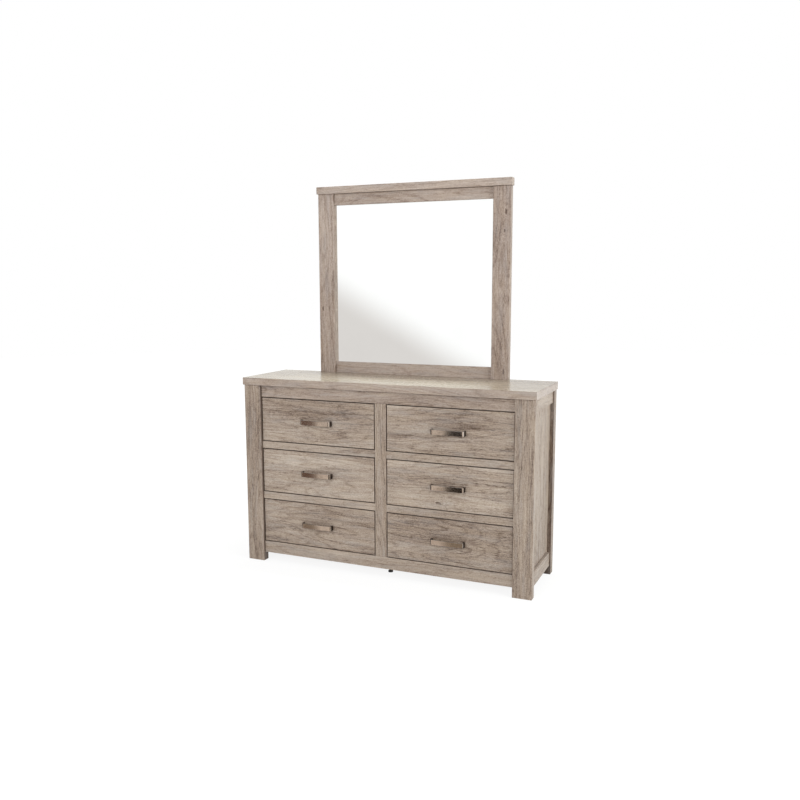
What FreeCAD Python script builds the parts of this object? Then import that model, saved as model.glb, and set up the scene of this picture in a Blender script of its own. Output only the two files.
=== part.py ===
import FreeCAD, Part
import os
import Sketcher

# Six-drawer dresser with a framed mirror standing on its top.
#
# Frame: the origin lies on the floor under the middle of the overall box, +Z is up, the drawers
# open towards -Y and +X is to the right of someone who faces them. Sizes are in millimetres.

doc = FreeCAD.newDocument("dresser_with_mirror")

# ---------------------------------------------------------------------------------------------
# Driving dimensions: each one is set by itself.
# ---------------------------------------------------------------------------------------------
SIZES = (
    # the case
    ("body_width", 1500),            # over the outer faces of the legs
    ("body_depth", 415),             # from the legs' front faces to the back of the rear legs
    ("body_height", 950),            # floor to the upper face of the top panel
    ("top_thick", 37),
    ("top_side_overhang", 6),
    ("top_front_overhang", 6),
    ("leg_width", 92),
    ("front_leg_depth", 40),
    ("rear_leg_depth", 48),
    ("bottom_gap", 44),              # clear height under the rails
    ("edge_round", 1.2),
    # the front frame, set back between the legs
    ("frame_recess", 12),
    ("frame_thick", 20),
    ("top_rail_height", 59),
    ("mid_rail_height", 36),
    ("bottom_rail_height", 60),
    ("stile_width", 60),
    # the sides
    ("side_rail_recess", 6.5),
    ("side_rail_thick", 20),
    ("side_top_rail_height", 61),
    ("side_bottom_rail_height", 69),
    ("side_panel_recess", 18),
    ("side_panel_thick", 9),
    # the inside and the back of the case
    ("partition_thick", 15),
    ("beam_height", 40),
    ("bearer_height", 60),
    ("bearer_thick", 18),
    ("back_panel_thick", 5),
    ("back_rail_thick", 22),
    ("back_rail_height", 60),
    ("back_rail_spacing", 240),      # between the two rails that the mirror's supports hold
    ("anchor_hole_spacing", 1200),
    ("anchor_hole_radius", 1.75),
    ("anchor_hole_depth", 16),
    # the drawers
    ("drawer_gap", 4),
    ("drawer_front_thick", 18),
    ("box_side_thick", 12),
    ("box_under_gap", 14),
    ("box_over_gap", 45),
    ("box_bottom_thick", 5),
    ("box_bottom_raise", 12),
    ("groove_depth", 6),
    ("groove_play", 0.1),
    # the ball-bearing slides, three nested channels on each side of a drawer
    ("slide_thick", 12.7),
    ("slide_height", 45),
    ("slide_steel", 1.2),
    ("slide_play", 0.3),
    ("slide_setback", 2),
    ("slide_back_gap", 4),
    ("slide_level", 60),             # middle of the slide above the box's lower edge
    # the pulls
    ("pull_hole_spacing", 160),
    ("pull_height", 24),
    ("pull_projection", 28),
    ("pull_leg_thick", 7),
    ("pull_strap_thick", 4),
    ("pull_arch", 3),
    ("pull_bend", 9),
    ("pull_inner_bend", 4),
    ("pull_edge", 0.8),
    ("pull_thread_depth", 13),
    ("pull_screw_radius", 2),
    ("pull_screw_grip", 10),
    ("pull_screw_head_radius", 4.5),
    ("pull_screw_head_height", 2.4),
    ("screw_play", 0.06),
    # the mirror
    ("mirror_width", 1036),
    ("mirror_height", 928),          # stiles, from the top panel to the cap
    ("mirror_depth", 34),
    ("mirror_stile_width", 88),
    ("mirror_rail_height", 58),
    ("mirror_rail_recess", 12),
    ("glass_recess", 20),
    ("glass_thick", 4),
    ("glass_rebate", 10),
    ("glass_play", 0.5),
    ("mirror_board_thick", 5),
    ("cap_thick", 36),
    ("cap_side_overhang", 6),
    ("cap_front_overhang", 8),
    # the two boards that carry the mirror, and their countersunk screws
    ("support_width", 60),
    ("support_thick", 18),
    ("support_reach", 560),
    ("support_screw_radius", 2.2),
    ("support_screw_head_radius", 4.4),
    ("support_screw_bite", 18),
    ("support_screw_margin", 90),
    # the levelling feet under the middle of the case
    ("foot_inset", 100),
    ("foot_offset", 12),             # to the right of the middle, beside the partition
    ("foot_radius", 12),
    ("foot_height", 14),
    ("foot_round", 2),
    ("foot_stem_radius", 4),
    ("foot_stem_rise", 30),
    ("foot_stem_play", 0.08),
)

# Places and sizes that follow from the driving dimensions.
PLACES = (
    ("half_width", "Sizes.body_width / 2"),
    ("leg_inner", "half_width - Sizes.leg_width"),
    ("case_top", "Sizes.body_height - Sizes.top_thick"),
    ("opening_width", "leg_inner - Sizes.stile_width / 2"),
    ("opening_height", "(case_top - Sizes.top_rail_height - Sizes.bottom_gap"
                       " - Sizes.bottom_rail_height - 2 * Sizes.mid_rail_height) / 3"),
    ("opening_pitch", "opening_height + Sizes.mid_rail_height"),
    ("first_opening", "Sizes.bottom_gap + Sizes.bottom_rail_height"),
    ("front_reach", "max(Sizes.top_front_overhang; Sizes.pull_projection - Sizes.frame_recess)"),
    ("front", "(front_reach - Sizes.body_depth - Sizes.support_thick) / 2"),
    ("back", "front + Sizes.body_depth"),
    ("frame_front", "front + Sizes.frame_recess"),
    ("frame_back", "frame_front + Sizes.frame_thick"),
    ("side_start", "front + Sizes.front_leg_depth"),
    ("side_length", "Sizes.body_depth - Sizes.front_leg_depth - Sizes.rear_leg_depth"),
    ("back_rail_front", "back - Sizes.back_rail_thick"),
    ("back_panel_front", "back_rail_front - Sizes.back_panel_thick"),
    ("inside_depth", "back_panel_front - frame_back"),
    ("drawer_width", "opening_width - 2 * Sizes.drawer_gap"),
    ("drawer_height", "opening_height - 2 * Sizes.drawer_gap"),
    ("drawer_back", "frame_front + Sizes.drawer_front_thick"),
    ("slide_start", "frame_back + Sizes.slide_setback"),
    ("slide_length", "inside_depth - Sizes.slide_setback - Sizes.slide_back_gap"),
    ("box_width", "opening_width - 2 * Sizes.slide_thick"),
    ("box_length", "slide_start + slide_length - drawer_back"),
    ("box_height", "opening_height - Sizes.box_under_gap - Sizes.box_over_gap"),
    ("bottom_top", "Sizes.box_bottom_raise + Sizes.box_bottom_thick"),
    ("pull_length", "Sizes.pull_hole_spacing + Sizes.pull_leg_thick"),
    ("pull_curve", "(pull_length ^ 2 / 4 + Sizes.pull_arch ^ 2) / (2 * Sizes.pull_arch)"),
    ("mirror_front", "back - Sizes.mirror_depth"),
    ("mirror_inner", "Sizes.mirror_width / 2 - Sizes.mirror_stile_width"),
    ("mirror_top", "Sizes.body_height + Sizes.mirror_height"),
    ("glass_front", "mirror_front + Sizes.glass_recess"),
    ("glass_back", "glass_front + Sizes.glass_thick"),
    ("glass_half_width", "mirror_inner + Sizes.glass_rebate - Sizes.glass_play"),
    ("glass_low", "Sizes.body_height + Sizes.mirror_rail_height - Sizes.glass_rebate"
                  " + Sizes.glass_play"),
    ("glass_height", "Sizes.mirror_height - 2 * (Sizes.mirror_rail_height - Sizes.glass_rebate"
                     " + Sizes.glass_play)"),
    ("support_centre", "(Sizes.mirror_width - Sizes.mirror_stile_width) / 2"),
    ("back_top_rail_level", "case_top - Sizes.back_rail_height"),
    ("back_mid_rail_level", "back_top_rail_level - Sizes.back_rail_spacing"),
)

sizes = doc.addObject("Spreadsheet::Sheet", "Sizes")
for row, (alias, value) in enumerate(SIZES, start=1):
    sizes.set("A%d" % row, alias)
    sizes.set("B%d" % row, str(value))
    sizes.setAlias("B%d" % row, alias)

places = doc.addObject("Spreadsheet::Sheet", "Places")
for row, (alias, formula) in enumerate(PLACES, start=1):
    places.set("A%d" % row, alias)
    places.set("B%d" % row, "=" + formula)
    places.setAlias("B%d" % row, alias)
doc.recompute()

nodes = []
TOUCH = 1e-3                             # lengths under this count as nothing


# ---------------------------------------------------------------------------------------------
# Makers. Every length and place they take is an expression on the two sheets.
# ---------------------------------------------------------------------------------------------
def bind(thing, **expressions):
    """Bind properties of a document object to expressions."""
    for name, expression in expressions.items():
        thing.setExpression(name, expression)


def place(thing, at):
    """Bind the place of an object's own origin."""
    for axis, expression in zip("xyz", at):
        thing.setExpression("Placement.Base." + axis, expression)
    return thing


def block(name, size, at):
    """A square-edged board or a cutting block."""
    box = doc.addObject("Part::Box", name)
    bind(box, Length=size[0], Width=size[1], Height=size[2])
    return place(box, at)


def rod(name, radius, height, at, along_y=False):
    """A round bar along +Z, or along +Y."""
    bar = doc.addObject("Part::Cylinder", name)
    bind(bar, Radius=radius, Height=height)
    if along_y:
        bar.Placement.Rotation = FreeCAD.Rotation(FreeCAD.Vector(1, 0, 0), -90)
    return place(bar, at)


def eased_board(name, size, at):
    """A board with all its edges eased: a padded rectangle with one fillet feature."""
    body = doc.addObject("PartDesign::Body", name)
    sketch = body.newObject("Sketcher::SketchObject", name + "_outline")
    ground = [plane for plane in body.Origin.OriginFeatures if plane.Role == "XY_Plane"][0]
    sketch.AttachmentSupport = [(ground, "")]
    sketch.MapMode = "FlatFace"
    corners = [FreeCAD.Vector(*xy, 0) for xy in ((0, 0), (100, 0), (100, 50), (0, 50))]
    for start, end in zip(corners, corners[1:] + corners[:1]):
        sketch.addGeometry(Part.LineSegment(start, end))
    for side in range(4):
        sketch.addConstraint(Sketcher.Constraint("Coincident", side, 2, (side + 1) % 4, 1))
    for side in (0, 2):
        sketch.addConstraint(Sketcher.Constraint("Horizontal", side))
    for side in (1, 3):
        sketch.addConstraint(Sketcher.Constraint("Vertical", side))
    sketch.addConstraint(Sketcher.Constraint("Coincident", 0, 1, -1, 1))
    across = sketch.addConstraint(Sketcher.Constraint("DistanceX", 0, 1, 0, 2, 100))
    deep = sketch.addConstraint(Sketcher.Constraint("DistanceY", 1, 1, 1, 2, 50))
    sketch.renameConstraint(across, "across")
    sketch.renameConstraint(deep, "deep")
    sketch.setExpression("Constraints.across", size[0])
    sketch.setExpression("Constraints.deep", size[1])
    pad = body.newObject("PartDesign::Pad", name + "_pad")
    pad.Profile = sketch
    bind(pad, Length=size[2])
    doc.recompute()
    ease = body.newObject("PartDesign::Fillet", name + "_ease")
    ease.Base = (pad, ["Edge1"])
    ease.UseAllEdges = True
    bind(ease, Radius="Sizes.edge_round")
    return place(body, at)


def together(name, pieces):
    """Several separate solids under one name."""
    group = doc.addObject("Part::Compound", name)
    group.Links = pieces
    return group


def without(name, piece, tools):
    """A piece with one or more tools cut away."""
    cut = doc.addObject("Part::Cut", name)
    cut.Base = piece
    cut.Tool = tools[0] if len(tools) == 1 else together(name + "_tools", tools)
    return cut


def fused(name, pieces):
    """Pieces joined into one solid."""
    joined = doc.addObject("Part::MultiFuse", name)
    joined.Shapes = pieces
    return joined


def rounded(name, piece, radius_of):
    """A piece with its edges rounded by the radius that radius_of gives for each, if any."""
    doc.recompute()
    radii = [(number, radius_of(edge)) for number, edge in enumerate(piece.Shape.Edges, start=1)]
    fillet = doc.addObject("Part::Fillet", name)
    fillet.Base = piece
    fillet.Edges = [(number, radius, radius) for number, radius in radii if radius]
    return fillet


def node(label, piece):
    """Give a finished sub-part the name that it is known and filed by."""
    piece.Label = label
    nodes.append(piece)
    return piece


def mirrored_x(width, inner_edge):
    """The low X of a piece on each side, its inner edge the given distance from the middle."""
    return (("left", "-(%s) - (%s)" % (inner_edge, width)), ("right", inner_edge))


# ---------------------------------------------------------------------------------------------
# The case
# ---------------------------------------------------------------------------------------------
def build_legs():
    for row, depth, y in (("front", "Sizes.front_leg_depth", "Places.front"),
                          ("rear", "Sizes.rear_leg_depth", "Places.back - Sizes.rear_leg_depth")):
        legs = [eased_board("leg_%s_%s" % (row, side),
                            ("Sizes.leg_width", depth, "Places.case_top"), (x, y, "0"))
                for side, x in mirrored_x("Sizes.leg_width", "Places.leg_inner")]
        node("legs_" + row, together("legs_%s_pair" % row, legs))


def build_top():
    node("top_panel", eased_board(
        "top_board",
        ("Sizes.body_width + 2 * Sizes.top_side_overhang",
         "Sizes.body_depth + Sizes.top_front_overhang", "Sizes.top_thick"),
        ("-Places.half_width - Sizes.top_side_overhang",
         "Places.front - Sizes.top_front_overhang", "Places.case_top")))


def build_sides():
    rails = []
    panels = []
    rail_edge = "Places.half_width - Sizes.side_rail_recess - Sizes.side_rail_thick"
    panel_edge = "Places.half_width - Sizes.side_panel_recess - Sizes.side_panel_thick"
    low = "Sizes.bottom_gap + Sizes.side_bottom_rail_height"
    high = "Places.case_top - Sizes.side_top_rail_height"
    for side, x in mirrored_x("Sizes.side_rail_thick", rail_edge):
        for level, height, z in (("bottom", "Sizes.side_bottom_rail_height", "Sizes.bottom_gap"),
                                 ("top", "Sizes.side_top_rail_height", high)):
            rails.append(eased_board("side_rail_%s_%s" % (level, side),
                                     ("Sizes.side_rail_thick", "Places.side_length", height),
                                     (x, "Places.side_start", z)))
    for side, x in mirrored_x("Sizes.side_panel_thick", panel_edge):
        panels.append(block("side_panel_" + side,
                            ("Sizes.side_panel_thick", "Places.side_length",
                             "%s - (%s)" % (high, low)),
                            (x, "Places.side_start", low)))
    node("side_rails", together("side_rail_set", rails))
    node("side_panels", together("side_panel_pair", panels))


def build_front_frame():
    across = "2 * Places.leg_inner"
    for label, height, z in (("front_top_rail", "Sizes.top_rail_height",
                              "Places.case_top - Sizes.top_rail_height"),
                             ("front_bottom_rail", "Sizes.bottom_rail_height",
                              "Sizes.bottom_gap")):
        node(label, eased_board(label + "_board", (across, "Sizes.frame_thick", height),
                                ("-Places.leg_inner", "Places.frame_front", z)))
    node("centre_stile", eased_board(
        "stile_board",
        ("Sizes.stile_width", "Sizes.frame_thick",
         "3 * Places.opening_height + 2 * Sizes.mid_rail_height"),
        ("-Sizes.stile_width / 2", "Places.frame_front", "Places.first_opening")))
    rails = []
    for number in (1, 2):
        z = "Places.first_opening + %d * Places.opening_pitch - Sizes.mid_rail_height" % number
        for side, x in mirrored_x("Places.opening_width", "Sizes.stile_width / 2"):
            rails.append(eased_board("middle_rail_%d_%s" % (number, side),
                                     ("Places.opening_width", "Sizes.frame_thick",
                                      "Sizes.mid_rail_height"),
                                     (x, "Places.frame_front", z)))
    node("front_middle_rails", together("front_middle_rail_set", rails))


def build_inside():
    foot_bores = [rod("foot_bore_" + end, "Sizes.foot_stem_radius + Sizes.foot_stem_play",
                      "Sizes.beam_height", ("Sizes.foot_offset", y, "Sizes.bottom_gap"))
                  for end, y in foot_places()]
    beam = block("beam_board", ("Sizes.stile_width", "Places.inside_depth", "Sizes.beam_height"),
                 ("-Sizes.stile_width / 2", "Places.frame_back", "Sizes.bottom_gap"))
    node("centre_beam", without("beam_bored", beam, foot_bores))
    node("centre_partition", block(
        "partition_board",
        ("Sizes.partition_thick", "Places.inside_depth",
         "Places.case_top - Sizes.bottom_gap - Sizes.beam_height"),
        ("-Sizes.partition_thick / 2", "Places.frame_back",
         "Sizes.bottom_gap + Sizes.beam_height")))
    bearers = []
    inner_thick = "(Sizes.stile_width - Sizes.partition_thick) / 2"
    for number, row in enumerate(ROWS):
        z = slide_middle(number) + " - Sizes.bearer_height / 2"
        for side, x in mirrored_x(inner_thick, "Sizes.partition_thick / 2"):
            bearers.append(block("inner_bearer_%s_%s" % (row, side),
                                 (inner_thick, "Places.inside_depth", "Sizes.bearer_height"),
                                 (x, "Places.frame_back", z)))
        for side, x in mirrored_x("Sizes.bearer_thick", "Places.leg_inner"):
            bearers.append(block("outer_bearer_%s_%s" % (row, side),
                                 ("Sizes.bearer_thick", "Places.side_length",
                                  "Sizes.bearer_height"),
                                 (x, "Places.side_start", z)))
    node("slide_bearers", together("slide_bearer_set", bearers))


def build_back():
    node("back_panel", block(
        "back_board",
        ("2 * Places.leg_inner", "Sizes.back_panel_thick", "Places.case_top - Sizes.bottom_gap"),
        ("-Places.leg_inner", "Places.back_panel_front", "Sizes.bottom_gap")))
    anchor_holes = [rod("anchor_hole_" + side, "Sizes.anchor_hole_radius",
                        "Sizes.anchor_hole_depth",
                        (sign + "Sizes.anchor_hole_spacing / 2",
                         "Places.back - Sizes.anchor_hole_depth",
                         "Places.back_top_rail_level + Sizes.back_rail_height / 2"), along_y=True)
                    for side, sign in (("left", "-"), ("right", ""))]
    rails = []
    for label, z, extra_tools in (("bottom", "Sizes.bottom_gap", []),
                                  ("middle", "Places.back_mid_rail_level", []),
                                  ("top", "Places.back_top_rail_level", anchor_holes)):
        board = block("back_rail_%s_board" % label,
                      ("2 * Places.leg_inner", "Sizes.back_rail_thick",
                       "Sizes.back_rail_height"),
                      ("-Places.leg_inner", "Places.back_rail_front", z))
        holes = []
        if label != "bottom":
            level = z + " + Sizes.back_rail_height / 2"
            holes = [support_screw_hole("rail_%s_hole_%s" % (label, side), x, level)
                     for side, x in support_sides()]
        tools = holes + extra_tools
        rails.append(without("back_rail_" + label, board, tools) if tools else board)
    node("back_rails", together("back_rail_set", rails))


# ---------------------------------------------------------------------------------------------
# The drawers and their slides
# ---------------------------------------------------------------------------------------------
ROWS = ("bottom", "middle", "top")


def opening_low(number):
    """Lower edge of a row's drawer openings."""
    return "Places.first_opening + %d * Places.opening_pitch" % number


def box_low(number):
    """Lower edge of a row's drawer boxes."""
    return opening_low(number) + " + Sizes.box_under_gap"


def slide_middle(number):
    """Height of the middle of a row's slides."""
    return box_low(number) + " + Sizes.slide_level"


def channel(name, low_x, outer_x, depth, height, opens_right, length, y, middle_z):
    """A steel channel along Y, open to one side: a bar with its hollow cut away."""
    bar = block(name + "_bar", (depth, length, height),
                (low_x, y, "%s - (%s) / 2" % (middle_z, height)))
    hollow_x = "%s + Sizes.slide_steel" % low_x if opens_right else outer_x
    hollow = block(name + "_hollow",
                   ("%s - Sizes.slide_steel" % depth, length,
                    "%s - 2 * Sizes.slide_steel" % height),
                   (hollow_x, y, "%s - (%s) / 2 + Sizes.slide_steel" % (middle_z, height)))
    return without(name, bar, [hollow])


def slide_members(row, number, side, opening_x):
    """The three nested members at each end of one drawer: case, middle and drawer members."""
    members = {"case": [], "middle": [], "drawer": []}
    step = "(Sizes.slide_steel + Sizes.slide_play)"
    heights = {"case": "Sizes.slide_height",
               "middle": "(Sizes.slide_height - 2 * %s)" % step,
               "drawer": "(Sizes.slide_height - 4 * %s)" % step}
    depths = {"case": "(Sizes.slide_thick - 2 * %s)" % step,
              "middle": "(Sizes.slide_thick - 2 * %s)" % step,
              "drawer": "(Sizes.slide_thick - 2 * %s)" % step}
    offsets = {"case": "0", "middle": step, "drawer": "2 * " + step}
    for end in ("left", "right"):
        for kind in members:
            # The case member's web lies on the case, and the drawer member's on the box.
            web_left = (kind != "drawer") == (end == "left")
            if end == "left":
                low_x = "%s + %s" % (opening_x, offsets[kind])
            else:
                low_x = "%s + Places.opening_width - %s - %s" % (opening_x, offsets[kind],
                                                                  depths[kind])
            members[kind].append(channel(
                "slide_%s_%s_%s_%s" % (kind, row, side, end), low_x, low_x, depths[kind],
                heights[kind], web_left, "Places.slide_length", "Places.slide_start",
                slide_middle(number)))
    return members


def build_box(name, left, low):
    """The drawer box: two sides and a back on a thin bottom that slides in under the back."""
    wall = "Sizes.box_side_thick"
    start = "Places.drawer_back"
    groove_height = "Sizes.box_bottom_thick + 2 * Sizes.groove_play"
    groove_low = "%s + Sizes.box_bottom_raise - Sizes.groove_play" % low
    boards = []
    for end, x, groove_x in (("left", left, "%s + %s - Sizes.groove_depth" % (left, wall)),
                             ("right", "%s + Places.box_width - %s" % (left, wall),
                              "%s + Places.box_width - %s" % (left, wall))):
        board = block("%s_side_%s_board" % (name, end),
                      (wall, "Places.box_length", "Places.box_height"), (x, start, low))
        groove = block("%s_side_%s_groove" % (name, end),
                       ("Sizes.groove_depth", "Places.box_length", groove_height),
                       (groove_x, start, groove_low))
        boards.append(without("%s_side_%s" % (name, end), board, [groove]))
    boards.append(block(name + "_back",
                        ("Places.box_width - 2 * %s" % wall, wall,
                         "Places.box_height - Places.bottom_top"),
                        ("%s + %s" % (left, wall), "%s + Places.box_length - %s" % (start, wall),
                         "%s + Places.bottom_top" % low)))
    node(name + "_box", together(name + "_boards", boards))
    reach = "(Sizes.groove_depth - Sizes.groove_play)"
    node(name + "_bottom", block(
        name + "_bottom_board",
        ("Places.box_width - 2 * %s + 2 * %s" % (wall, reach),
         "Places.box_length + %s" % reach, "Sizes.box_bottom_thick"),
        ("%s + %s - %s" % (left, wall, reach), "%s - %s" % (start, reach),
         "%s + Sizes.box_bottom_raise" % low)))


def build_drawer_front(name, opening_x, opening_z, low, screws):
    """The inset front, grooved for the bottom and drilled for the pull's screws."""
    front = eased_board(name + "_front_board",
                        ("Places.drawer_width", "Sizes.drawer_front_thick",
                         "Places.drawer_height"),
                        ("%s + Sizes.drawer_gap" % opening_x, "Places.frame_front",
                         "%s + Sizes.drawer_gap" % opening_z))
    groove_width = "Places.box_width - 2 * Sizes.box_side_thick + 2 * Sizes.groove_depth"
    groove = block(name + "_front_groove",
                   (groove_width, "Sizes.groove_depth",
                    "Sizes.box_bottom_thick + 2 * Sizes.groove_play"),
                   ("%s + Places.opening_width / 2 - (%s) / 2" % (opening_x, groove_width),
                    "Places.drawer_back - Sizes.groove_depth",
                    "%s + Sizes.box_bottom_raise - Sizes.groove_play" % low))
    holes = [rod("%s_front_hole_%s" % (name, end),
                 "Sizes.pull_screw_radius + Sizes.screw_play", "Sizes.drawer_front_thick",
                 (x, "Places.frame_front", z), along_y=True) for end, x, z in screws]
    node(name + "_front", without(name + "_front_cut", front, [groove] + holes))


def build_pull(name, centre_x, centre_z, screws):
    """An arched strap with its ends bent back to the drawer, and the two screws that hold it."""
    face = "Places.frame_front"
    tip = "%s - Sizes.pull_projection" % face
    low = "%s - Sizes.pull_height / 2" % centre_z
    outer = block(name + "_pull_block",
                  ("Places.pull_length", "Sizes.pull_projection", "Sizes.pull_height"),
                  ("%s - Places.pull_length / 2" % centre_x, tip, low))
    outer_arch = rod(name + "_pull_arch", "Places.pull_curve", "Sizes.pull_height",
                     (centre_x, "%s + Places.pull_curve" % tip, low))
    inner = block(name + "_pull_gap_block",
                  ("Sizes.pull_hole_spacing - Sizes.pull_leg_thick",
                   "Sizes.pull_projection - Sizes.pull_strap_thick", "Sizes.pull_height"),
                  ("%s - (Sizes.pull_hole_spacing - Sizes.pull_leg_thick) / 2" % centre_x,
                   "%s + Sizes.pull_strap_thick" % tip, low))
    inner_arch = rod(name + "_pull_gap_arch", "Places.pull_curve - Sizes.pull_strap_thick",
                     "Sizes.pull_height", (centre_x, "%s + Places.pull_curve" % tip, low))
    solid = doc.addObject("Part::Common", name + "_pull_solid")
    solid.Base = outer
    solid.Tool = outer_arch
    gap = doc.addObject("Part::Common", name + "_pull_gap")
    gap.Base = inner
    gap.Tool = inner_arch
    strap = without(name + "_pull_strap", solid, [gap])
    mounting_y = places.frame_front - TOUCH

    def bend_of(edge):
        if not is_upright(edge) or edge.BoundBox.YMax > mounting_y:
            return None
        return sizes.pull_bend if on_outer_end(edge, strap) else sizes.pull_inner_bend

    def ease_of(edge):
        level = edge.BoundBox.ZLength < TOUCH
        return sizes.pull_edge if level and edge.BoundBox.YMin < mounting_y else None

    bent = rounded(name + "_pull_bent", strap, bend_of)
    eased = rounded(name + "_pull_eased", bent, ease_of)
    threads = [rod("%s_pull_thread_%s" % (name, end),
                   "Sizes.pull_screw_radius + Sizes.screw_play", "Sizes.pull_thread_depth",
                   (x, "%s - Sizes.pull_thread_depth" % face, z), along_y=True)
               for end, x, z in screws]
    pull = without(name + "_pull", eased, threads)
    fasteners = []
    for end, x, z in screws:
        shank = rod("%s_pull_shank_%s" % (name, end), "Sizes.pull_screw_radius",
                    "Sizes.drawer_front_thick + Sizes.pull_screw_grip",
                    (x, "%s - Sizes.pull_screw_grip" % face, z), along_y=True)
        head = rod("%s_pull_head_%s" % (name, end), "Sizes.pull_screw_head_radius",
                   "Sizes.pull_screw_head_height", (x, "Places.drawer_back", z), along_y=True)
        fasteners.append(fused("%s_pull_screw_%s" % (name, end), [shank, head]))
    node(name + "_handle", together(name + "_pull_set", [pull] + fasteners))


def is_upright(edge):
    """True for a straight edge along Z."""
    box = edge.BoundBox
    return box.XLength < TOUCH and box.YLength < TOUCH and box.ZLength > TOUCH


def on_outer_end(edge, piece):
    """True for an edge on the piece's outermost X."""
    box = piece.Shape.BoundBox
    x = edge.BoundBox.XMin
    return abs(x - box.XMin) < TOUCH or abs(x - box.XMax) < TOUCH


def build_drawers():
    case_members = []
    for number, row in enumerate(ROWS):
        for side, opening_x in mirrored_x("Places.opening_width", "Sizes.stile_width / 2"):
            name = "drawer_%s_%s" % (row, side)
            middle_x = "%s + Places.opening_width / 2" % opening_x
            middle_z = "%s + Places.opening_height / 2" % opening_low(number)
            screws = [(end, middle_x + sign + "Sizes.pull_hole_spacing / 2", middle_z)
                      for end, sign in (("left", " - "), ("right", " + "))]
            build_drawer_front(name, opening_x, opening_low(number), box_low(number), screws)
            build_box(name, "%s + Sizes.slide_thick" % opening_x, box_low(number))
            build_pull(name, middle_x, middle_z, screws)
            members = slide_members(row, number, side, opening_x)
            node(name + "_slide_members", together(name + "_slide_pair", members["drawer"]))
            node("slide_%s_%s_middle_members" % (row, side),
                 together("slide_%s_%s_pair" % (row, side), members["middle"]))
            case_members += members["case"]
    node("slide_case_members", together("slide_case_member_set", case_members))


# ---------------------------------------------------------------------------------------------
# The mirror and what carries it
# ---------------------------------------------------------------------------------------------
def support_sides():
    """The middle of each support, in X."""
    return (("left", "-Places.support_centre"), ("right", "Places.support_centre"))


def support_screw_hole(name, x, level):
    """The hole that a support screw bites into, in the piece the support lies on."""
    return rod(name, "Sizes.support_screw_radius + Sizes.screw_play", "Sizes.support_screw_bite",
               (x, "Places.back - Sizes.support_screw_bite", level), along_y=True)


def mirror_screw_levels():
    """Heights of the two screws in each mirror stile."""
    return (("low", "Sizes.body_height + Sizes.support_screw_margin"),
            ("high", "Sizes.body_height + Sizes.support_reach - Sizes.support_screw_margin"))


def build_mirror():
    rail_start = "Places.mirror_front + Sizes.mirror_rail_recess"
    rebate_depth = "Sizes.mirror_depth - Sizes.glass_recess"
    stiles = []
    for side, x in mirrored_x("Sizes.mirror_stile_width", "Places.mirror_inner"):
        board = eased_board("mirror_stile_%s_board" % side,
                            ("Sizes.mirror_stile_width", "Sizes.mirror_depth",
                             "Sizes.mirror_height"),
                            (x, "Places.mirror_front", "Sizes.body_height"))
        inner_x = dict(mirrored_x("Sizes.glass_rebate", "Places.mirror_inner"))[side]
        rebate = block("mirror_stile_%s_rebate" % side,
                       ("Sizes.glass_rebate", rebate_depth,
                        "Places.glass_height + 2 * Sizes.glass_play"),
                       (inner_x, "Places.glass_front", "Places.glass_low - Sizes.glass_play"))
        holes = [support_screw_hole("mirror_stile_%s_hole_%s" % (side, level),
                                    dict(support_sides())[side], z)
                 for level, z in mirror_screw_levels()]
        stiles.append(without("mirror_stile_" + side, board, [rebate] + holes))
    node("mirror_stiles", together("mirror_stile_pair", stiles))
    rails = []
    for level, z, rebate_z in (
            ("bottom", "Sizes.body_height",
             "Sizes.body_height + Sizes.mirror_rail_height - Sizes.glass_rebate"),
            ("top", "Places.mirror_top - Sizes.mirror_rail_height",
             "Places.mirror_top - Sizes.mirror_rail_height")):
        board = eased_board("mirror_rail_%s_board" % level,
                            ("2 * Places.mirror_inner",
                             "Sizes.mirror_depth - Sizes.mirror_rail_recess",
                             "Sizes.mirror_rail_height"),
                            ("-Places.mirror_inner", rail_start, z))
        rebate = block("mirror_rail_%s_rebate" % level,
                       ("2 * Places.mirror_inner", rebate_depth, "Sizes.glass_rebate"),
                       ("-Places.mirror_inner", "Places.glass_front", rebate_z))
        rails.append(without("mirror_rail_" + level, board, [rebate]))
    node("mirror_rails", together("mirror_rail_pair", rails))
    node("mirror_cap", eased_board(
        "cap_board",
        ("Sizes.mirror_width + 2 * Sizes.cap_side_overhang",
         "Sizes.mirror_depth + Sizes.cap_front_overhang", "Sizes.cap_thick"),
        ("-Sizes.mirror_width / 2 - Sizes.cap_side_overhang",
         "Places.mirror_front - Sizes.cap_front_overhang", "Places.mirror_top")))
    for label, thick, y in (("mirror_glass", "Sizes.glass_thick", "Places.glass_front"),
                            ("mirror_backboard", "Sizes.mirror_board_thick",
                             "Places.glass_back")):
        node(label, block(label + "_sheet",
                          ("2 * Places.glass_half_width", thick, "Places.glass_height"),
                          ("-Places.glass_half_width", y, "Places.glass_low")))


def support_screw(name, x, level, play):
    """A countersunk screw, or with play the hole for it through the support."""
    shank = rod(name + "_shank", "Sizes.support_screw_radius + %s" % play,
                "Sizes.support_thick + Sizes.support_screw_bite - Sizes.edge_round",
                (x, "Places.back - Sizes.support_screw_bite + Sizes.edge_round", level),
                along_y=True)
    head = doc.addObject("Part::Cone", name + "_head")
    sink = "(Sizes.support_screw_head_radius - Sizes.support_screw_radius)"
    bind(head, Radius1="Sizes.support_screw_radius + %s" % play,
         Radius2="Sizes.support_screw_head_radius + %s" % play, Height=sink)
    head.Placement.Rotation = FreeCAD.Rotation(FreeCAD.Vector(1, 0, 0), -90)
    place(head, (x, "Places.back + Sizes.support_thick - %s" % sink, level))
    return fused(name, [shank, head])


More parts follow.
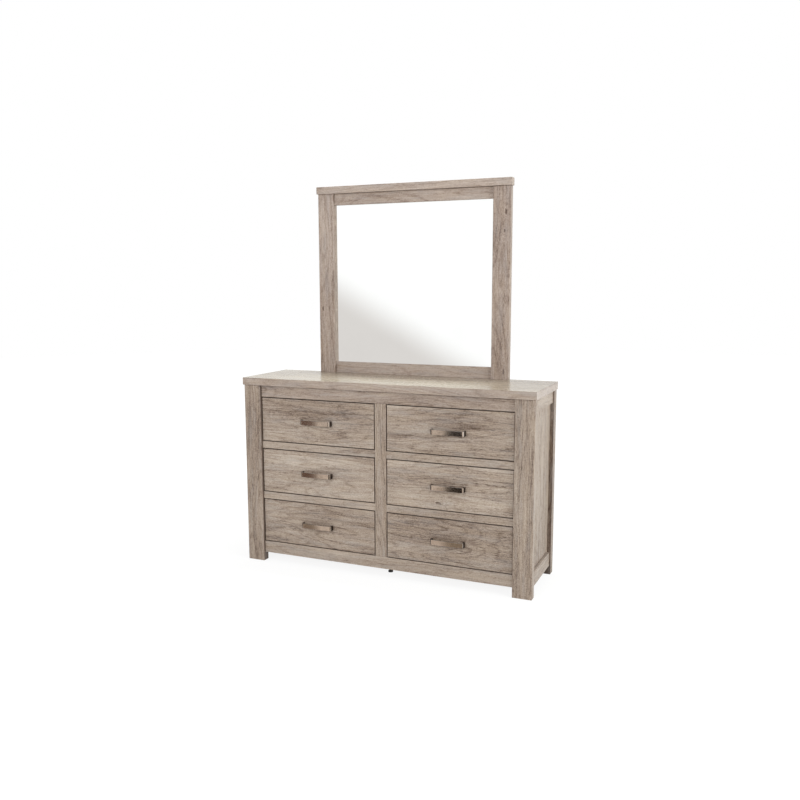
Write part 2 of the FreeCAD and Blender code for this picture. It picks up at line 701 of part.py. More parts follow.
def build_supports():
    boards = []
    screws = []
    rail_middle = " + Sizes.back_rail_height / 2"
    levels = (("case_low", "Places.back_mid_rail_level" + rail_middle),
              ("case_high", "Places.back_top_rail_level" + rail_middle)) + mirror_screw_levels()
    for side, x in support_sides():
        board = block("support_%s_board" % side,
                      ("Sizes.support_width", "Sizes.support_thick",
                       "Sizes.body_height + Sizes.support_reach - Places.back_mid_rail_level"),
                      ("%s - Sizes.support_width / 2" % x, "Places.back",
                       "Places.back_mid_rail_level"))
        holes = [support_screw("support_hole_%s_%s" % (side, level), x, z, "Sizes.screw_play")
                 for level, z in levels]
        boards.append(without("support_" + side, board, holes))
        screws += [support_screw("support_screw_%s_%s" % (side, level), x, z, "0")
                   for level, z in levels]
    node("mirror_supports", together("mirror_support_pair", boards))
    node("support_screws", together("support_screw_set", screws))


# ---------------------------------------------------------------------------------------------
# The levelling feet
# ---------------------------------------------------------------------------------------------
def foot_places():
    """The two feet stand the same distance in from the front and the back."""
    return (("front", "Places.front + Sizes.foot_inset"), ("rear", "Places.back - Sizes.foot_inset"))


def foot_round_of(edge):
    """The foot is rounded where its rim meets the floor."""
    return sizes.foot_round if edge.BoundBox.ZMax < TOUCH else None


def build_feet():
    for end, y in foot_places():
        pad = rod("foot_pad_" + end, "Sizes.foot_radius", "Sizes.foot_height",
                  ("Sizes.foot_offset", y, "0"))
        stem = rod("foot_stem_" + end, "Sizes.foot_stem_radius",
                   "Sizes.bottom_gap + Sizes.foot_stem_rise - Sizes.foot_height",
                   ("Sizes.foot_offset", y, "Sizes.foot_height"))
        foot = fused("foot_%s_whole" % end, [pad, stem])
        node("centre_foot_" + end, rounded("foot_%s_eased" % end, foot, foot_round_of))


# ---------------------------------------------------------------------------------------------
# Build, check and export
# ---------------------------------------------------------------------------------------------
build_legs()
build_top()
build_sides()
build_front_frame()
build_inside()
build_back()
build_drawers()
build_mirror()
build_supports()
build_feet()
doc.recompute()

for thing in doc.Objects:
    if "Invalid" in thing.State or "Error" in thing.State:
        raise RuntimeError("%s failed: %s" % (thing.Label, thing.State))
for piece in nodes:
    if piece.Shape.isNull() or not piece.Shape.isValid():
        raise RuntimeError("%s has no valid shape" % piece.Label)

os.makedirs("parts", exist_ok=True)
for piece in nodes:
    piece.Shape.exportStep("parts/%s.step" % piece.Label)
print("%d nodes, %d solids" % (len(nodes), sum(len(piece.Shape.Solids) for piece in nodes)))
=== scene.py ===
"""Looks of a six-drawer dresser with its framed mirror, in metres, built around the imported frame.

The boards keep their solids and are printed with washed grey oak. The pulls, slides, levelling
feet, screws, pins, clips and drawer fixings are modelled here, on the bodies that they move with.
Each sub-assembly is a class, and each finish too.
"""

import logging
import math
from dataclasses import dataclass
from enum import Enum
from typing import Iterable, Sequence, Union

import bmesh
import bpy
from mathutils import Euler, Matrix, Vector


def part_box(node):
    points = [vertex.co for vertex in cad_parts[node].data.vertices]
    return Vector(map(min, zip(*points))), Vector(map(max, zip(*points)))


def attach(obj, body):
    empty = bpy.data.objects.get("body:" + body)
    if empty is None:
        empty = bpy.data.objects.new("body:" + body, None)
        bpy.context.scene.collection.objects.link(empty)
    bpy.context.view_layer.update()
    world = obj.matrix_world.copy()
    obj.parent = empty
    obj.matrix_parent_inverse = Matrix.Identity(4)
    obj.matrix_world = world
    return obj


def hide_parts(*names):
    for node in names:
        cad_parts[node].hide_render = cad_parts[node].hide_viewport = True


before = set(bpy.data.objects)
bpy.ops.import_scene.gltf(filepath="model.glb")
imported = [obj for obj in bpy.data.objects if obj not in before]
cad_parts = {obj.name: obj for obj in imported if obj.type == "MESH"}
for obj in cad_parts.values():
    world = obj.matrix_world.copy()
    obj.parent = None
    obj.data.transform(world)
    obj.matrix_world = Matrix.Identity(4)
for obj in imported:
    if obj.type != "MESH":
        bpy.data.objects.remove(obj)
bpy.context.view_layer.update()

LOG = logging.getLogger("dresser")
MM = 0.001
TINY = 1e-7
WELD = 1e-6
Triple = tuple[float, float, float]
Colour = tuple[float, float, float, float]
Socket = bpy.types.NodeSocket
Value = Union[float, Sequence[float], Socket]

ORIGIN = (0.0, 0.0, 0.0)
UNTINTED = (1.0, 1.0, 1.0)
WHITE = (1.0, 1.0, 1.0, 1.0)
BACKWARDS = Vector((0, 1, 0))
PLACES = tuple("%s_%s" % (row, side) for row in ("bottom", "middle", "top")
               for side in ("left", "right"))


def srgb(red: float, green: float, blue: float) -> Colour:
    """Turn a colour as it is seen, 0 to 255 a channel, into the linear colour that shaders take.

    Args:
        red: Red channel.
        green: Green channel.
        blue: Blue channel.

    Returns:
        The linear colour with an alpha of 1.
    """
    def linear(channel: float) -> float:
        """Undo the display curve of one channel."""
        share = channel / 255
        return share / 12.92 if share <= 0.04045 else ((share + 0.055) / 1.055) ** 2.4

    return linear(red), linear(green), linear(blue), 1.0


# ---------------------------------------------------------------- node trees

class Wires:
    """A node tree under construction: it adds nodes, sets their sockets and joins them."""

    def __init__(self, tree: bpy.types.NodeTree) -> None:
        """Start on an empty tree."""
        self.tree = tree

    def put(self, socket: Socket, value: Value) -> None:
        """Give a socket a value, or join it to the socket that is given.

        Args:
            socket: The input to fill.
            value: A number, a colour, a vector or another node's output.
        """
        if isinstance(value, Socket):
            self.tree.links.new(value, socket)
        else:
            socket.default_value = value

    def node(self, kind: str, inputs: dict, **settings: object) -> bpy.types.Node:
        """Add a node.

        Args:
            kind: The node's type name, without its ShaderNode start.
            inputs: Values or outputs by input name or number.
            settings: The node's own properties.

        Returns:
            The node.
        """
        made = self.tree.nodes.new("ShaderNode" + kind)
        for name, setting in settings.items():
            setattr(made, name, setting)
        for key, value in inputs.items():
            self.put(made.inputs[key], value)
        return made

    def math(self, operation: str, first: Value, second: Value = 0.0,
             clamp: bool = False) -> Socket:
        """Work out one sum of two values and return its output."""
        return self.node("Math", {0: first, 1: second}, operation=operation,
                         use_clamp=clamp).outputs[0]

    def add(self, first: Value, second: Value) -> Socket:
        """Return two values added up."""
        return self.math("ADD", first, second)

    def less(self, first: Value, second: Value) -> Socket:
        """Return the first value less the second."""
        return self.math("SUBTRACT", first, second)

    def times(self, first: Value, second: Value) -> Socket:
        """Return one value times the other."""
        return self.math("MULTIPLY", first, second)

    def larger(self, first: Value, second: Value) -> Socket:
        """Return the larger of two values."""
        return self.math("MAXIMUM", first, second)

    def vector(self, operation: str, first: Value, second: Value) -> Socket:
        """Work out one sum of two vectors and return its output."""
        return self.node("VectorMath", {0: first, 1: second}, operation=operation).outputs[0]

    def length(self, vector: Value) -> Socket:
        """Return a vector's length."""
        return self.node("VectorMath", {0: vector}, operation="LENGTH").outputs["Value"]

    def parts(self, vector: Value) -> bpy.types.NodeOutputs:
        """Return a vector's X, Y and Z."""
        return self.node("SeparateXYZ", {0: vector}).outputs

    def normal(self) -> Socket:
        """Return the way that the surface looks."""
        return self.node("NewGeometry", {}).outputs["Normal"]

    def place(self) -> Socket:
        """Return where the surface is, in the row frame at rest, in metres."""
        return self.node("TexCoord", {}).outputs["Object"]

    def spread(self, value: Value, low: float, high: float, to_low: float = 0.0,
               to_high: float = 1.0) -> Socket:
        """Ease a value from one range into another, held at both ends.

        Args:
            value: The value to map.
            low: Where the first end starts.
            high: Where the second end starts.
            to_low: Result at low.
            to_high: Result at high.

        Returns:
            The eased value.
        """
        return self.node("MapRange", {0: value, 1: low, 2: high, 3: to_low, 4: to_high},
                         interpolation_type="SMOOTHSTEP").outputs[0]

    def noise(self, vector: Value, pace: Union[float, Triple], detail: float = 2.0,
              rough: float = 0.5) -> Socket:
        """Make cloudy noise, 0 to 1.

        Args:
            vector: Where to read it, in metres.
            pace: Waves a metre along X, Y and Z, or one number for all three.
            detail: Number of finer layers.
            rough: Share of each finer layer.

        Returns:
            The noise value.
        """
        waves = (pace, pace, pace) if isinstance(pace, float) else pace
        placed = self.vector("MULTIPLY", vector, waves)
        return self.node("TexNoise", {"Vector": placed, "Scale": 1.0, "Detail": detail,
                                      "Roughness": rough}).outputs[0]

    def blend(self, share: Value, first: Value, second: Value, mode: str = "MIX") -> Socket:
        """Mix two colours by the share of the second, in one of Blender's blend types."""
        return self.node("Mix", {0: share, 6: first, 7: second}, data_type="RGBA",
                         blend_type=mode).outputs[2]

    def ramp(self, value: Value, stops: Sequence[tuple[float, Colour]]) -> Socket:
        """Turn a value into a colour.

        Args:
            value: The value.
            stops: The ramp's stops as (place, linear colour).

        Returns:
            The colour.
        """
        made = self.node("ValToRGB", {0: value})
        band = made.color_ramp
        while len(band.elements) < len(stops):
            band.elements.new(0.5)
        for element, (place, colour) in zip(band.elements, stops):
            element.position = place
            element.color = colour
        return made.outputs[0]

    def effect(self, kind: type["Effect"], inputs: dict) -> bpy.types.NodeOutputs:
        """Place a shared effect's group.

        Args:
            kind: The effect.
            inputs: Its own values or outputs here, by input name.

        Returns:
            The group's outputs.
        """
        made = self.tree.nodes.new("ShaderNodeGroup")
        made.node_tree = kind.tree()
        for key, value in inputs.items():
            self.put(made.inputs[key], value)
        return made.outputs


class Effect:
    """A look that several finishes share, kept as one node group that is built once."""

    title = ""
    takes: dict[str, Union[float, tuple[float, ...]]] = {}
    gives: dict[str, str] = {}

    @classmethod
    def tree(cls) -> bpy.types.NodeTree:
        """Build the effect's group the first time, and find it after that.

        Returns:
            The group.
        """
        found = bpy.data.node_groups.get(cls.title)
        if found is not None:
            return found
        made = bpy.data.node_groups.new(cls.title, "ShaderNodeTree")
        kinds = {3: "NodeSocketVector", 4: "NodeSocketColor"}
        for name, value in cls.takes.items():
            size = len(value) if isinstance(value, tuple) else 1
            socket = made.interface.new_socket(name, in_out="INPUT",
                                               socket_type=kinds.get(size, "NodeSocketFloat"))
            socket.default_value = value
        for name, kind in cls.gives.items():
            made.interface.new_socket(name, in_out="OUTPUT", socket_type="NodeSocket" + kind)
        wires = Wires(made)
        source = made.nodes.new("NodeGroupInput").outputs
        result = made.nodes.new("NodeGroupOutput").inputs
        for name, value in cls.wire(wires, source).items():
            wires.put(result[name], value)
        return made

    @staticmethod
    def wire(wires: Wires, source: bpy.types.NodeOutputs) -> dict[str, Value]:
        """Wire the effect.

        Args:
            wires: The group's wires.
            source: The group's inputs.

        Returns:
            The group's outputs by name.
        """
        raise NotImplementedError


class WornEdge(Effect):
    """Mask of the rounded edges, broken up as by handling: 1 on a worn edge, 0 on a flat face."""

    title = "worn edge"
    takes = {"Vector": ORIGIN, "Amount": 1.0}
    gives = {"Mask": "Float"}

    @staticmethod
    def wire(wires: Wires, source: bpy.types.NodeOutputs) -> dict[str, Value]:
        """Read how far the surface leans from all three axes, and break it up with noise.

        Args:
            wires: The group's wires.
            source: The group's inputs.

        Returns:
            The mask.
        """
        lean = wires.node("VectorMath", {0: wires.normal()}, operation="ABSOLUTE").outputs[0]
        parts = wires.parts(lean)
        flat = wires.larger(wires.larger(parts[0], parts[1]), parts[2])
        edge = wires.spread(flat, 0.985, 0.82)
        patchy = wires.spread(wires.noise(source["Vector"], 23.0, 3.0), 0.35, 0.62)
        worn = wires.times(edge, wires.add(wires.times(patchy, 0.75), 0.25))
        return {"Mask": wires.math("MULTIPLY", worn, source["Amount"], clamp=True)}


class SettledDust(Effect):
    """Mask of thin dust on surfaces that face up."""

    title = "settled dust"
    takes = {"Vector": ORIGIN, "Amount": 1.0}
    gives = {"Mask": "Float"}

    @staticmethod
    def wire(wires: Wires, source: bpy.types.NodeOutputs) -> dict[str, Value]:
        """Take the upward share of the normal and thin it out in clouds.

        Args:
            wires: The group's wires.
            source: The group's inputs.

        Returns:
            The mask.
        """
        upward = wires.spread(wires.parts(wires.normal())[2], 0.5, 1.0)
        clouds = wires.spread(wires.noise(source["Vector"], 9.0, 5.0, 0.6), 0.3, 0.75)
        film = wires.times(upward, clouds)
        return {"Mask": wires.math("MULTIPLY", film, source["Amount"], clamp=True)}


class CutEdge(Effect):
    """Mask of a board's cut edges, for painted shade in the gaps: 1 where it doesn't look to the
    front or the back.

    Only the part nearer to the middle than Reach, along X, counts.
    """

    title = "cut edge"
    takes = {"Vector": ORIGIN, "Reach": 1.0}
    gives = {"Mask": "Float"}

    @staticmethod
    def wire(wires: Wires, source: bpy.types.NodeOutputs) -> dict[str, Value]:
        """Read the lean of the surface and its distance from the middle.

        Args:
            wires: The group's wires.
            source: The group's inputs.

        Returns:
            The mask.
        """
        lean = wires.math("ABSOLUTE", wires.parts(wires.normal())[1])
        across = wires.math("ABSOLUTE", wires.parts(source["Vector"])[0])
        inside = wires.spread(wires.less(across, source["Reach"]), 0.0, -0.4 * MM)
        return {"Mask": wires.times(wires.spread(lean, 0.90, 0.40), inside)}


class KnotBend(Effect):
    """Bends the grain round one knot and says where its core and its rings are."""

    title = "knot bend"
    takes = {"Vector": ORIGIN, "Place": ORIGIN, "Size": 0.01}
    gives = {"Vector": "Vector", "Core": "Float", "Rise": "Float"}

    @staticmethod
    def wire(wires: Wires, source: bpy.types.NodeOutputs) -> dict[str, Value]:
        """Measure the distance in knot sizes, shorter along the grain, and bend across it.

        Args:
            wires: The group's wires.
            source: The group's inputs.

        Returns:
            The bent place, the share of the core, and how far the rings are raised.
        """
        offset = wires.vector("SUBTRACT", source["Vector"], source["Place"])
        oval = wires.vector("MULTIPLY", offset, (0.38, 1.0, 1.0))
        wobble = wires.noise(source["Vector"], (60.0, 160.0, 160.0))
        ragged = wires.times(wires.length(oval), wires.add(wobble, 0.5))
        sizes = wires.math("DIVIDE", ragged, source["Size"])
        near = wires.spread(sizes, 5.0, 0.4)
        pushed = wires.vector("MULTIPLY", offset, (0.0, -0.55, -0.55))
        bend = wires.node("VectorMath", {0: pushed, "Scale": near}, operation="SCALE").outputs[0]
        return {"Vector": wires.vector("ADD", source["Vector"], bend),
                "Core": wires.spread(sizes, 1.15, 0.45), "Rise": near}


class ShadePatch(Effect):
    """A stretch of a board's colour that is darker or paler, with soft ends: print tone, and in
    places painted light and shade.
    """

    title = "shade patch"
    takes = {"Vector": ORIGIN, "Place": ORIGIN, "Reach": (0.1, 0.1, 0.1), "Amount": 0.0}
    gives = {"Tone": "Float"}

    @staticmethod
    def wire(wires: Wires, source: bpy.types.NodeOutputs) -> dict[str, Value]:
        """Fade the amount out with the distance, which a slow noise makes uneven.

        Args:
            wires: The group's wires.
            source: The group's inputs.

        Returns:
            The change of tone.
        """
        offset = wires.vector("SUBTRACT", source["Vector"], source["Place"])
        reach = wires.length(wires.vector("DIVIDE", offset, source["Reach"]))
        wander = wires.less(wires.noise(source["Vector"], (5.0, 30.0, 30.0)), 0.5)
        uneven = wires.add(reach, wires.times(wander, 0.8))
        return {"Tone": wires.times(wires.spread(uneven, 1.25, 0.35), source["Amount"])}


class OakGrain(Effect):
    """Washed oak on a board: soft patches, fibre streaks, dark ticks and a cool or creamy wash."""

    title = "washed oak grain"
    takes = {"Vector": ORIGIN, "Rise": 0.0, "Core": 0.0, "Tone": 0.0, "Contrast": 1.0,
             "Dye": WHITE}
    gives = {"Color": "Color", "Height": "Float", "Roughness": "Float"}

    @staticmethod
    def wire(wires: Wires, source: bpy.types.NodeOutputs) -> dict[str, Value]:
        """Lay the print up from its broad patches to its ticks; the grain runs along X.

        Args:
            wires: The group's wires.
            source: The group's inputs.

        Returns:
            The colour, the height and the change of roughness.
        """
        place = source["Vector"]
        sway = wires.less(wires.noise(place, (2.2, 7.0, 7.0)), 0.5)
        aside = wires.node("CombineXYZ", {1: wires.times(sway, 0.024),
                                          2: wires.times(sway, 0.018)}).outputs[0]
        swayed = wires.vector("ADD", place, aside)
        patch = wires.noise(place, (1.1, 8.0, 8.0))
        band = wires.noise(swayed, (4.0, 48.0, 48.0))
        streak = wires.noise(swayed, (16.0, 170.0, 170.0), 2.0, 0.6)
        line = wires.noise(swayed, (5.0, 230.0, 230.0), 2.0, 0.6)
        fibre = wires.noise(swayed, (160.0, 430.0, 430.0), 3.0, 0.7)
        tick_field = wires.noise(swayed, (42.0, 340.0, 340.0), 1.0, 0.5)
        field = wires.add(wires.noise(swayed, (1.1, 8.0, 8.0), 1.5, 0.45),
                          wires.times(source["Rise"], 0.28))
        rings = wires.spread(wires.math("PINGPONG", wires.times(field, 17.0), 0.5), 0.20, 0.02)

        def weighed(value: Value, weight: float) -> Socket:
            """Centre a layer on nothing and weigh it."""
            return wires.times(wires.less(value, 0.5), weight)

        crowd = wires.add(weighed(band, 0.30), weighed(patch, 0.16))
        ticks = wires.spread(wires.less(tick_field, crowd), 0.57, 0.67)
        layers = wires.add(weighed(patch, 0.40), weighed(band, 0.26))
        for layer, weight in ((streak, 0.40), (line, 0.46), (fibre, 1.10)):
            layers = wires.add(layers, weighed(layer, weight))
        layers = wires.less(layers, wires.times(ticks, 0.18))
        layers = wires.times(wires.less(layers, wires.times(rings, 0.13)), source["Contrast"])
        shade = wires.add(wires.add(layers, source["Tone"]), 0.54)
        shade = wires.less(shade, wires.times(source["Core"], 0.42))
        wood = wires.ramp(shade, ((0.00, srgb(72, 56, 47)), (0.22, srgb(112, 94, 82)),
                                  (0.50, srgb(159, 143, 130)), (0.74, srgb(184, 170, 157)),
                                  (1.00, srgb(206, 196, 185))))
        hue = wires.noise(place, (6.0, 46.0, 46.0), 3.0, 0.6)
        cool = wires.spread(hue, 0.50, 0.68, 0.0, 0.26)
        cream = wires.spread(hue, 0.50, 0.34, 0.0, 0.14)
        wood = wires.blend(cool, wood, srgb(158, 153, 150))
        wood = wires.blend(cream, wood, srgb(186, 166, 142))
        wood = wires.blend(1.0, wood, source["Dye"], "MULTIPLY")
        return {"Color": wood, "Height": wires.less(wires.times(fibre, 0.35), ticks),
                "Roughness": wires.add(wires.times(streak, -0.10), wires.times(ticks, 0.16))}


# ---------------------------------------------------------------- finishes

def bare_material(name: str) -> tuple[bpy.types.Material, Wires]:
    """Make a material whose node tree is empty.

    Args:
        name: The material's name.

    Returns:
        The material and its wires.
    """
    material = bpy.data.materials.new(name)
    material.use_nodes = True
    material.node_tree.nodes.clear()
    return material, Wires(material.node_tree)


class Surface(Wires):
    """The wires of one material of the object, which has a principled shader."""

    def __init__(self, name: str) -> None:
        """Make the material with its shader and output."""
        self.material, wires = bare_material(name)
        super().__init__(wires.tree)
        self.shader = self.node("BsdfPrincipled", {})
        self.node("OutputMaterial", {"Surface": self.shader.outputs[0]})

    def finish(self, colour: Value, rough: Value, height: Value = 0.0, depth: float = 0.0,
               strength: float = 1.0, metallic: float = 0.0) -> bpy.types.Material:
        """Join what was worked out to the shader.

        Args:
            colour: The base colour.
            rough: The roughness.
            height: The relief, 0 to 1.
            depth: The relief's depth in metres, 0 for none.
            strength: How clearly the relief shows.
            metallic: 1 for a metal.

        Returns:
            The material.
        """
        self.put(self.shader.inputs["Base Color"], colour)
        self.put(self.shader.inputs["Roughness"], rough)
        self.put(self.shader.inputs["Metallic"], metallic)
        if depth:
            relief = self.node("Bump", {"Height": height, "Distance": depth,
                                        "Strength": strength})
            self.put(self.shader.inputs["Normal"], relief.outputs[0])
        return self.material


class Grain(Enum):
    """The way that a board's grain runs, as the turn that lays it along X."""

    ACROSS = ((1, 0, 0), (0, 1, 0), (0, 0, 1))
    DEEP = ((0, 1, 0), (0, 0, 1), (1, 0, 0))
    UPRIGHT = ((0, 0, 1), (1, 0, 0), (0, 1, 0))

    @property
    def turn(self) -> Matrix:
        """The rotation from the row frame to the board's own."""
        return Matrix(self.value)


@dataclass(frozen=True)
class Knot:
    """A knot in the print.

    Attributes:
        place: Its middle, in the row frame.
        size: Radius of its dark core.
    """

    place: Triple
    size: float


@dataclass(frozen=True)
class Shade:
    """A darker or paler stretch of a board's colour: print tone, and in places painted light and
    shade.

    Attributes:
        place: Its middle, in the row frame.
        reach: How far it goes along X, Y and Z.
        amount: Change of tone in its middle, darker below 0.
    """

    place: Triple
    reach: Triple
    amount: float


@dataclass(frozen=True)
class WashedOak:
    """Laminate printed with washed grey oak.

    Attributes:
        name: The material's name.
        grain: The way that the grain runs.
        cut: Which stretch of the printed roll the board is from.
        tone: Paler above 0, darker below.
        contrast: Strength of the streaks.
        dye: Tint of the board's dye lot.
        upper: Painted tint of its upper face, standing for the greenish light that falls on it.
        satin: Roughness of the lacquer.
        relief: How clearly the grain can be felt.
        edges: How far from the middle, along X, its cut edges are darkened as painted shade in the
            gaps; 0 for nowhere.
        knots: Knots on the board.
        shades: Darker or paler stretches of the board: print tone, and in places painted light and
            shade.
    """

    name: str
    grain: Grain
    cut: int
    tone: float = 0.0
    contrast: float = 1.0
    dye: Triple = UNTINTED
    upper: Triple = UNTINTED
    satin: float = 0.51
    relief: float = 0.8
    edges: float = 0.0
    knots: tuple[Knot, ...] = ()
    shades: tuple[Shade, ...] = ()

    def shift(self) -> Vector:
        """How far along the roll the board's print was cut."""
        return Vector([step * self.cut for step in (1.37, 0.61, 0.23)])

    def material(self) -> bpy.types.Material:
        """Build the material: knots bend the grain, then the print, edges and lacquer follow.

        Returns:
            The material.
        """
        wires = Surface(self.name)
        place = wires.place()
        board = wires.node("Mapping", {"Vector": place, "Location": tuple(self.shift()),
                                       "Rotation": tuple(self.grain.turn.to_euler("XYZ"))}
                           ).outputs[0]
        core: Value = 0.0
        rise: Value = 0.0
        for knot in self.knots:
            middle = self.grain.turn @ Vector(knot.place) + self.shift()
            bend = wires.effect(KnotBend, {"Vector": board, "Place": tuple(middle),
                                           "Size": knot.size})
            board = bend["Vector"]
            core = wires.larger(core, bend["Core"])
            rise = wires.larger(rise, bend["Rise"])
        tone: Value = self.tone
        for shade in self.shades:
            patch = wires.effect(ShadePatch, {"Vector": place, "Place": shade.place,
                                              "Reach": shade.reach, "Amount": shade.amount})
            tone = wires.add(tone, patch["Tone"])
        grain = wires.effect(OakGrain, {"Vector": board, "Rise": rise, "Core": core,
                                        "Tone": tone, "Contrast": self.contrast,
                                        "Dye": (*self.dye, 1.0)})
        worn = wires.effect(WornEdge, {"Vector": place, "Amount": 0.5})["Mask"]
        colour = wires.blend(worn, grain["Color"], srgb(112, 97, 86))
        # Painted light: the upper face is tinted as by the greenish light that falls on it.
        if self.upper != UNTINTED:
            above = wires.spread(wires.parts(wires.normal())[2], 0.5, 0.9)
            colour = wires.blend(above, colour, (*self.upper, 1.0), "MULTIPLY")
        # Painted shade: the cut edges, seen only in the gaps between boards, are darkened like the
        # gaps' shade.
        if self.edges:
            cut = wires.effect(CutEdge, {"Vector": place, "Reach": self.edges})["Mask"]
            colour = wires.blend(wires.times(cut, 0.80), colour, srgb(92, 76, 66))
        wires.put(wires.shader.inputs["IOR"], 1.47)
        return wires.finish(colour, wires.add(grain["Roughness"], self.satin), grain["Height"],
                            0.04 * MM, self.relief)


@dataclass(frozen=True)
class Particleboard:
    """Plain grey-brown foil on hidden boards, with the pressed chips showing faintly.

    Attributes:
        name: The material's name.
    """

    name: str = "carcass board"

    def material(self) -> bpy.types.Material:
        """Build the material from chips, cloudy tone and rubbed edges.

        Returns:
            The material.
        """
        wires = Surface(self.name)
        place = wires.place()
        chips = wires.node("TexVoronoi", {"Vector": place, "Scale": 420.0,
                                          "Randomness": 1.0}).outputs["Color"]
        chip = wires.node("SeparateColor", {0: chips}).outputs[0]
        tone = wires.add(wires.times(chip, 0.30), wires.times(wires.noise(place, 7.0, 4.0, 0.6),
                                                              0.75))
        foil = wires.blend(wires.math("MINIMUM", tone, 1.0), srgb(140, 122, 104),
                           srgb(176, 160, 142))
        worn = wires.effect(WornEdge, {"Vector": place, "Amount": 0.6})["Mask"]
        return wires.finish(wires.blend(worn, foil, srgb(193, 176, 154)),
                            wires.spread(chip, 0.0, 1.0, 0.52, 0.68), chip, 0.08 * MM, 0.6)


@dataclass(frozen=True)
class Hardboard:
    """Thin pressed fibreboard, smooth and brown, with fibres and a few specks.

    Attributes:
        name: The material's name.
    """

    name: str = "hardboard"

    def material(self) -> bpy.types.Material:
        """Build the material from matted fibres, specks and dust.

        Returns:
            The material.
        """
        wires = Surface(self.name)
        place = wires.place()
        matted = wires.noise(place, 180.0, 5.0, 0.7)
        speck = wires.spread(wires.noise(place, 420.0, 1.0), 0.70, 0.78)
        tone = wires.add(wires.times(matted, 0.6), wires.times(wires.noise(place, 3.5, 3.0), 0.5))
        board = wires.ramp(tone, ((0.30, srgb(120, 92, 68)), (0.55, srgb(151, 121, 92)),
                                  (0.80, srgb(176, 147, 116))))
        board = wires.blend(wires.times(speck, 0.6), board, srgb(84, 60, 42))
        dust = wires.effect(SettledDust, {"Vector": place, "Amount": 0.25})["Mask"]
        return wires.finish(wires.blend(dust, board, srgb(198, 190, 178)),
                            wires.spread(matted, 0.3, 0.7, 0.42, 0.60), matted, 0.06 * MM, 0.7)


@dataclass(frozen=True)
class LinenFoil:
    """The drawer boxes' pale foil, printed with a fine linen weave.

    Attributes:
        name: The material's name.
        thread: Waves a metre across the threads.
        slub: Waves a metre along them.
    """

    name: str = "drawer lining"
    thread: float = 900.0
    slub: float = 24.0

    def material(self) -> bpy.types.Material:
        """Build the material from crossed threads of uneven thickness.

        Returns:
            The material.
        """
        wires = Surface(self.name)
        place = wires.place()
        fine, slow = self.thread, self.slub
        across = wires.noise(place, (fine, slow, slow), 2.0, 0.6)
        upright = wires.noise(place, (slow, slow, fine), 2.0, 0.6)
        deep = wires.noise(place, (slow, fine, slow), 2.0, 0.6)
        weave = wires.add(wires.times(wires.add(across, upright), 0.34), wires.times(deep, 0.34))
        foil = wires.ramp(weave, ((0.30, srgb(166, 156, 143)), (0.52, srgb(190, 181, 168)),
                                  (0.75, srgb(208, 200, 189))))
        dust = wires.effect(SettledDust, {"Vector": place, "Amount": 0.2})["Mask"]
        return wires.finish(wires.blend(dust, foil, srgb(214, 208, 199)),
                            wires.spread(weave, 0.3, 0.7, 0.46, 0.60), weave, 0.05 * MM, 0.6)


class Run(Enum):
    """The way that a metal was rolled or brushed, as noise waves a metre on each axis."""

    ACROSS = (14.0, 900.0, 900.0)
    DEEP = (900.0, 14.0, 900.0)
    NONE = (160.0, 160.0, 160.0)


@dataclass(frozen=True)
class Metal:
    """A metal with its brushing, blotches and rubbed edges.

    Attributes:
        name: The material's name.
        run: The way that it was rolled or brushed.
        bright: Colour where it is clean.
        dull: Colour where it is tarnished.
        rough: Roughness where it is clean.
        rougher: Roughness where it is tarnished.
        edge: Colour of the edges.
    """

    name: str
    run: Run
    bright: Colour
    dull: Colour
    rough: float
    rougher: float
    edge: Colour

    def tarnish(self, wires: Surface) -> tuple[Socket, Socket, Socket, Socket]:
        """Work out what all metals here share.

        Args:
            wires: The material's wires.

        Returns:
            The brush marks, the blotches, the colour and the roughness.
        """
        place = wires.place()
        marks = wires.noise(place, self.run.value, 3.0, 0.6)
        blotch = wires.noise(place, 38.0, 4.0, 0.6)
        tarnish = wires.add(wires.times(marks, 0.5), wires.times(blotch, 0.6))
        colour = wires.blend(wires.spread(tarnish, 0.40, 0.75), self.bright, self.dull)
        rough = wires.spread(tarnish, 0.35, 0.75, self.rough, self.rougher)
        return marks, blotch, colour, rough

    def material(self) -> bpy.types.Material:
        """Build the material; the brush marks change colour, roughness and height together.

        Returns:
            The material.
        """
        wires = Surface(self.name)
        marks, _, colour, rough = self.tarnish(wires)
        worn = wires.effect(WornEdge, {"Vector": wires.place(), "Amount": 0.7})["Mask"]
        return wires.finish(wires.blend(worn, colour, self.edge), rough, marks, 0.03 * MM, 0.5,
                            metallic=1.0)


@dataclass(frozen=True)
class Pewter(Metal):
    """Antique pewter: rubbed bright in front, dark where it turns away.

    The dark is partly tarnish and partly painted shade and painted reflection. It has the edges'
    colour, and it reaches further round the left bend, as a painted dark reflection there.
    """

    def material(self) -> bpy.types.Material:
        """Build the material; the dark, partly tarnish and partly painted shade, lies by how far
        the surface leans from the front.

        Returns:
            The material.
        """
        wires = Surface(self.name)
        marks, blotch, colour, rough = self.tarnish(wires)
        across, _, upward = wires.parts(wires.normal())
        # Painted shade and painted reflection, with tarnish: dark on the ends, further round the
        # left one, and on the upper and lower edges.
        end = wires.larger(wires.spread(across, 0.72, 0.90), wires.spread(across, -0.25, -0.50))
        edge = wires.spread(wires.math("ABSOLUTE", upward), 0.35, 0.80)
        patina_and_shade = wires.times(wires.larger(end, edge), wires.spread(blotch, 0.2, 0.6, 0.75, 0.95))
        return wires.finish(wires.blend(patina_and_shade, colour, self.edge),
                            wires.add(rough, wires.times(patina_and_shade, 0.20)), marks, 0.03 * MM, 0.5,
                            metallic=1.0)


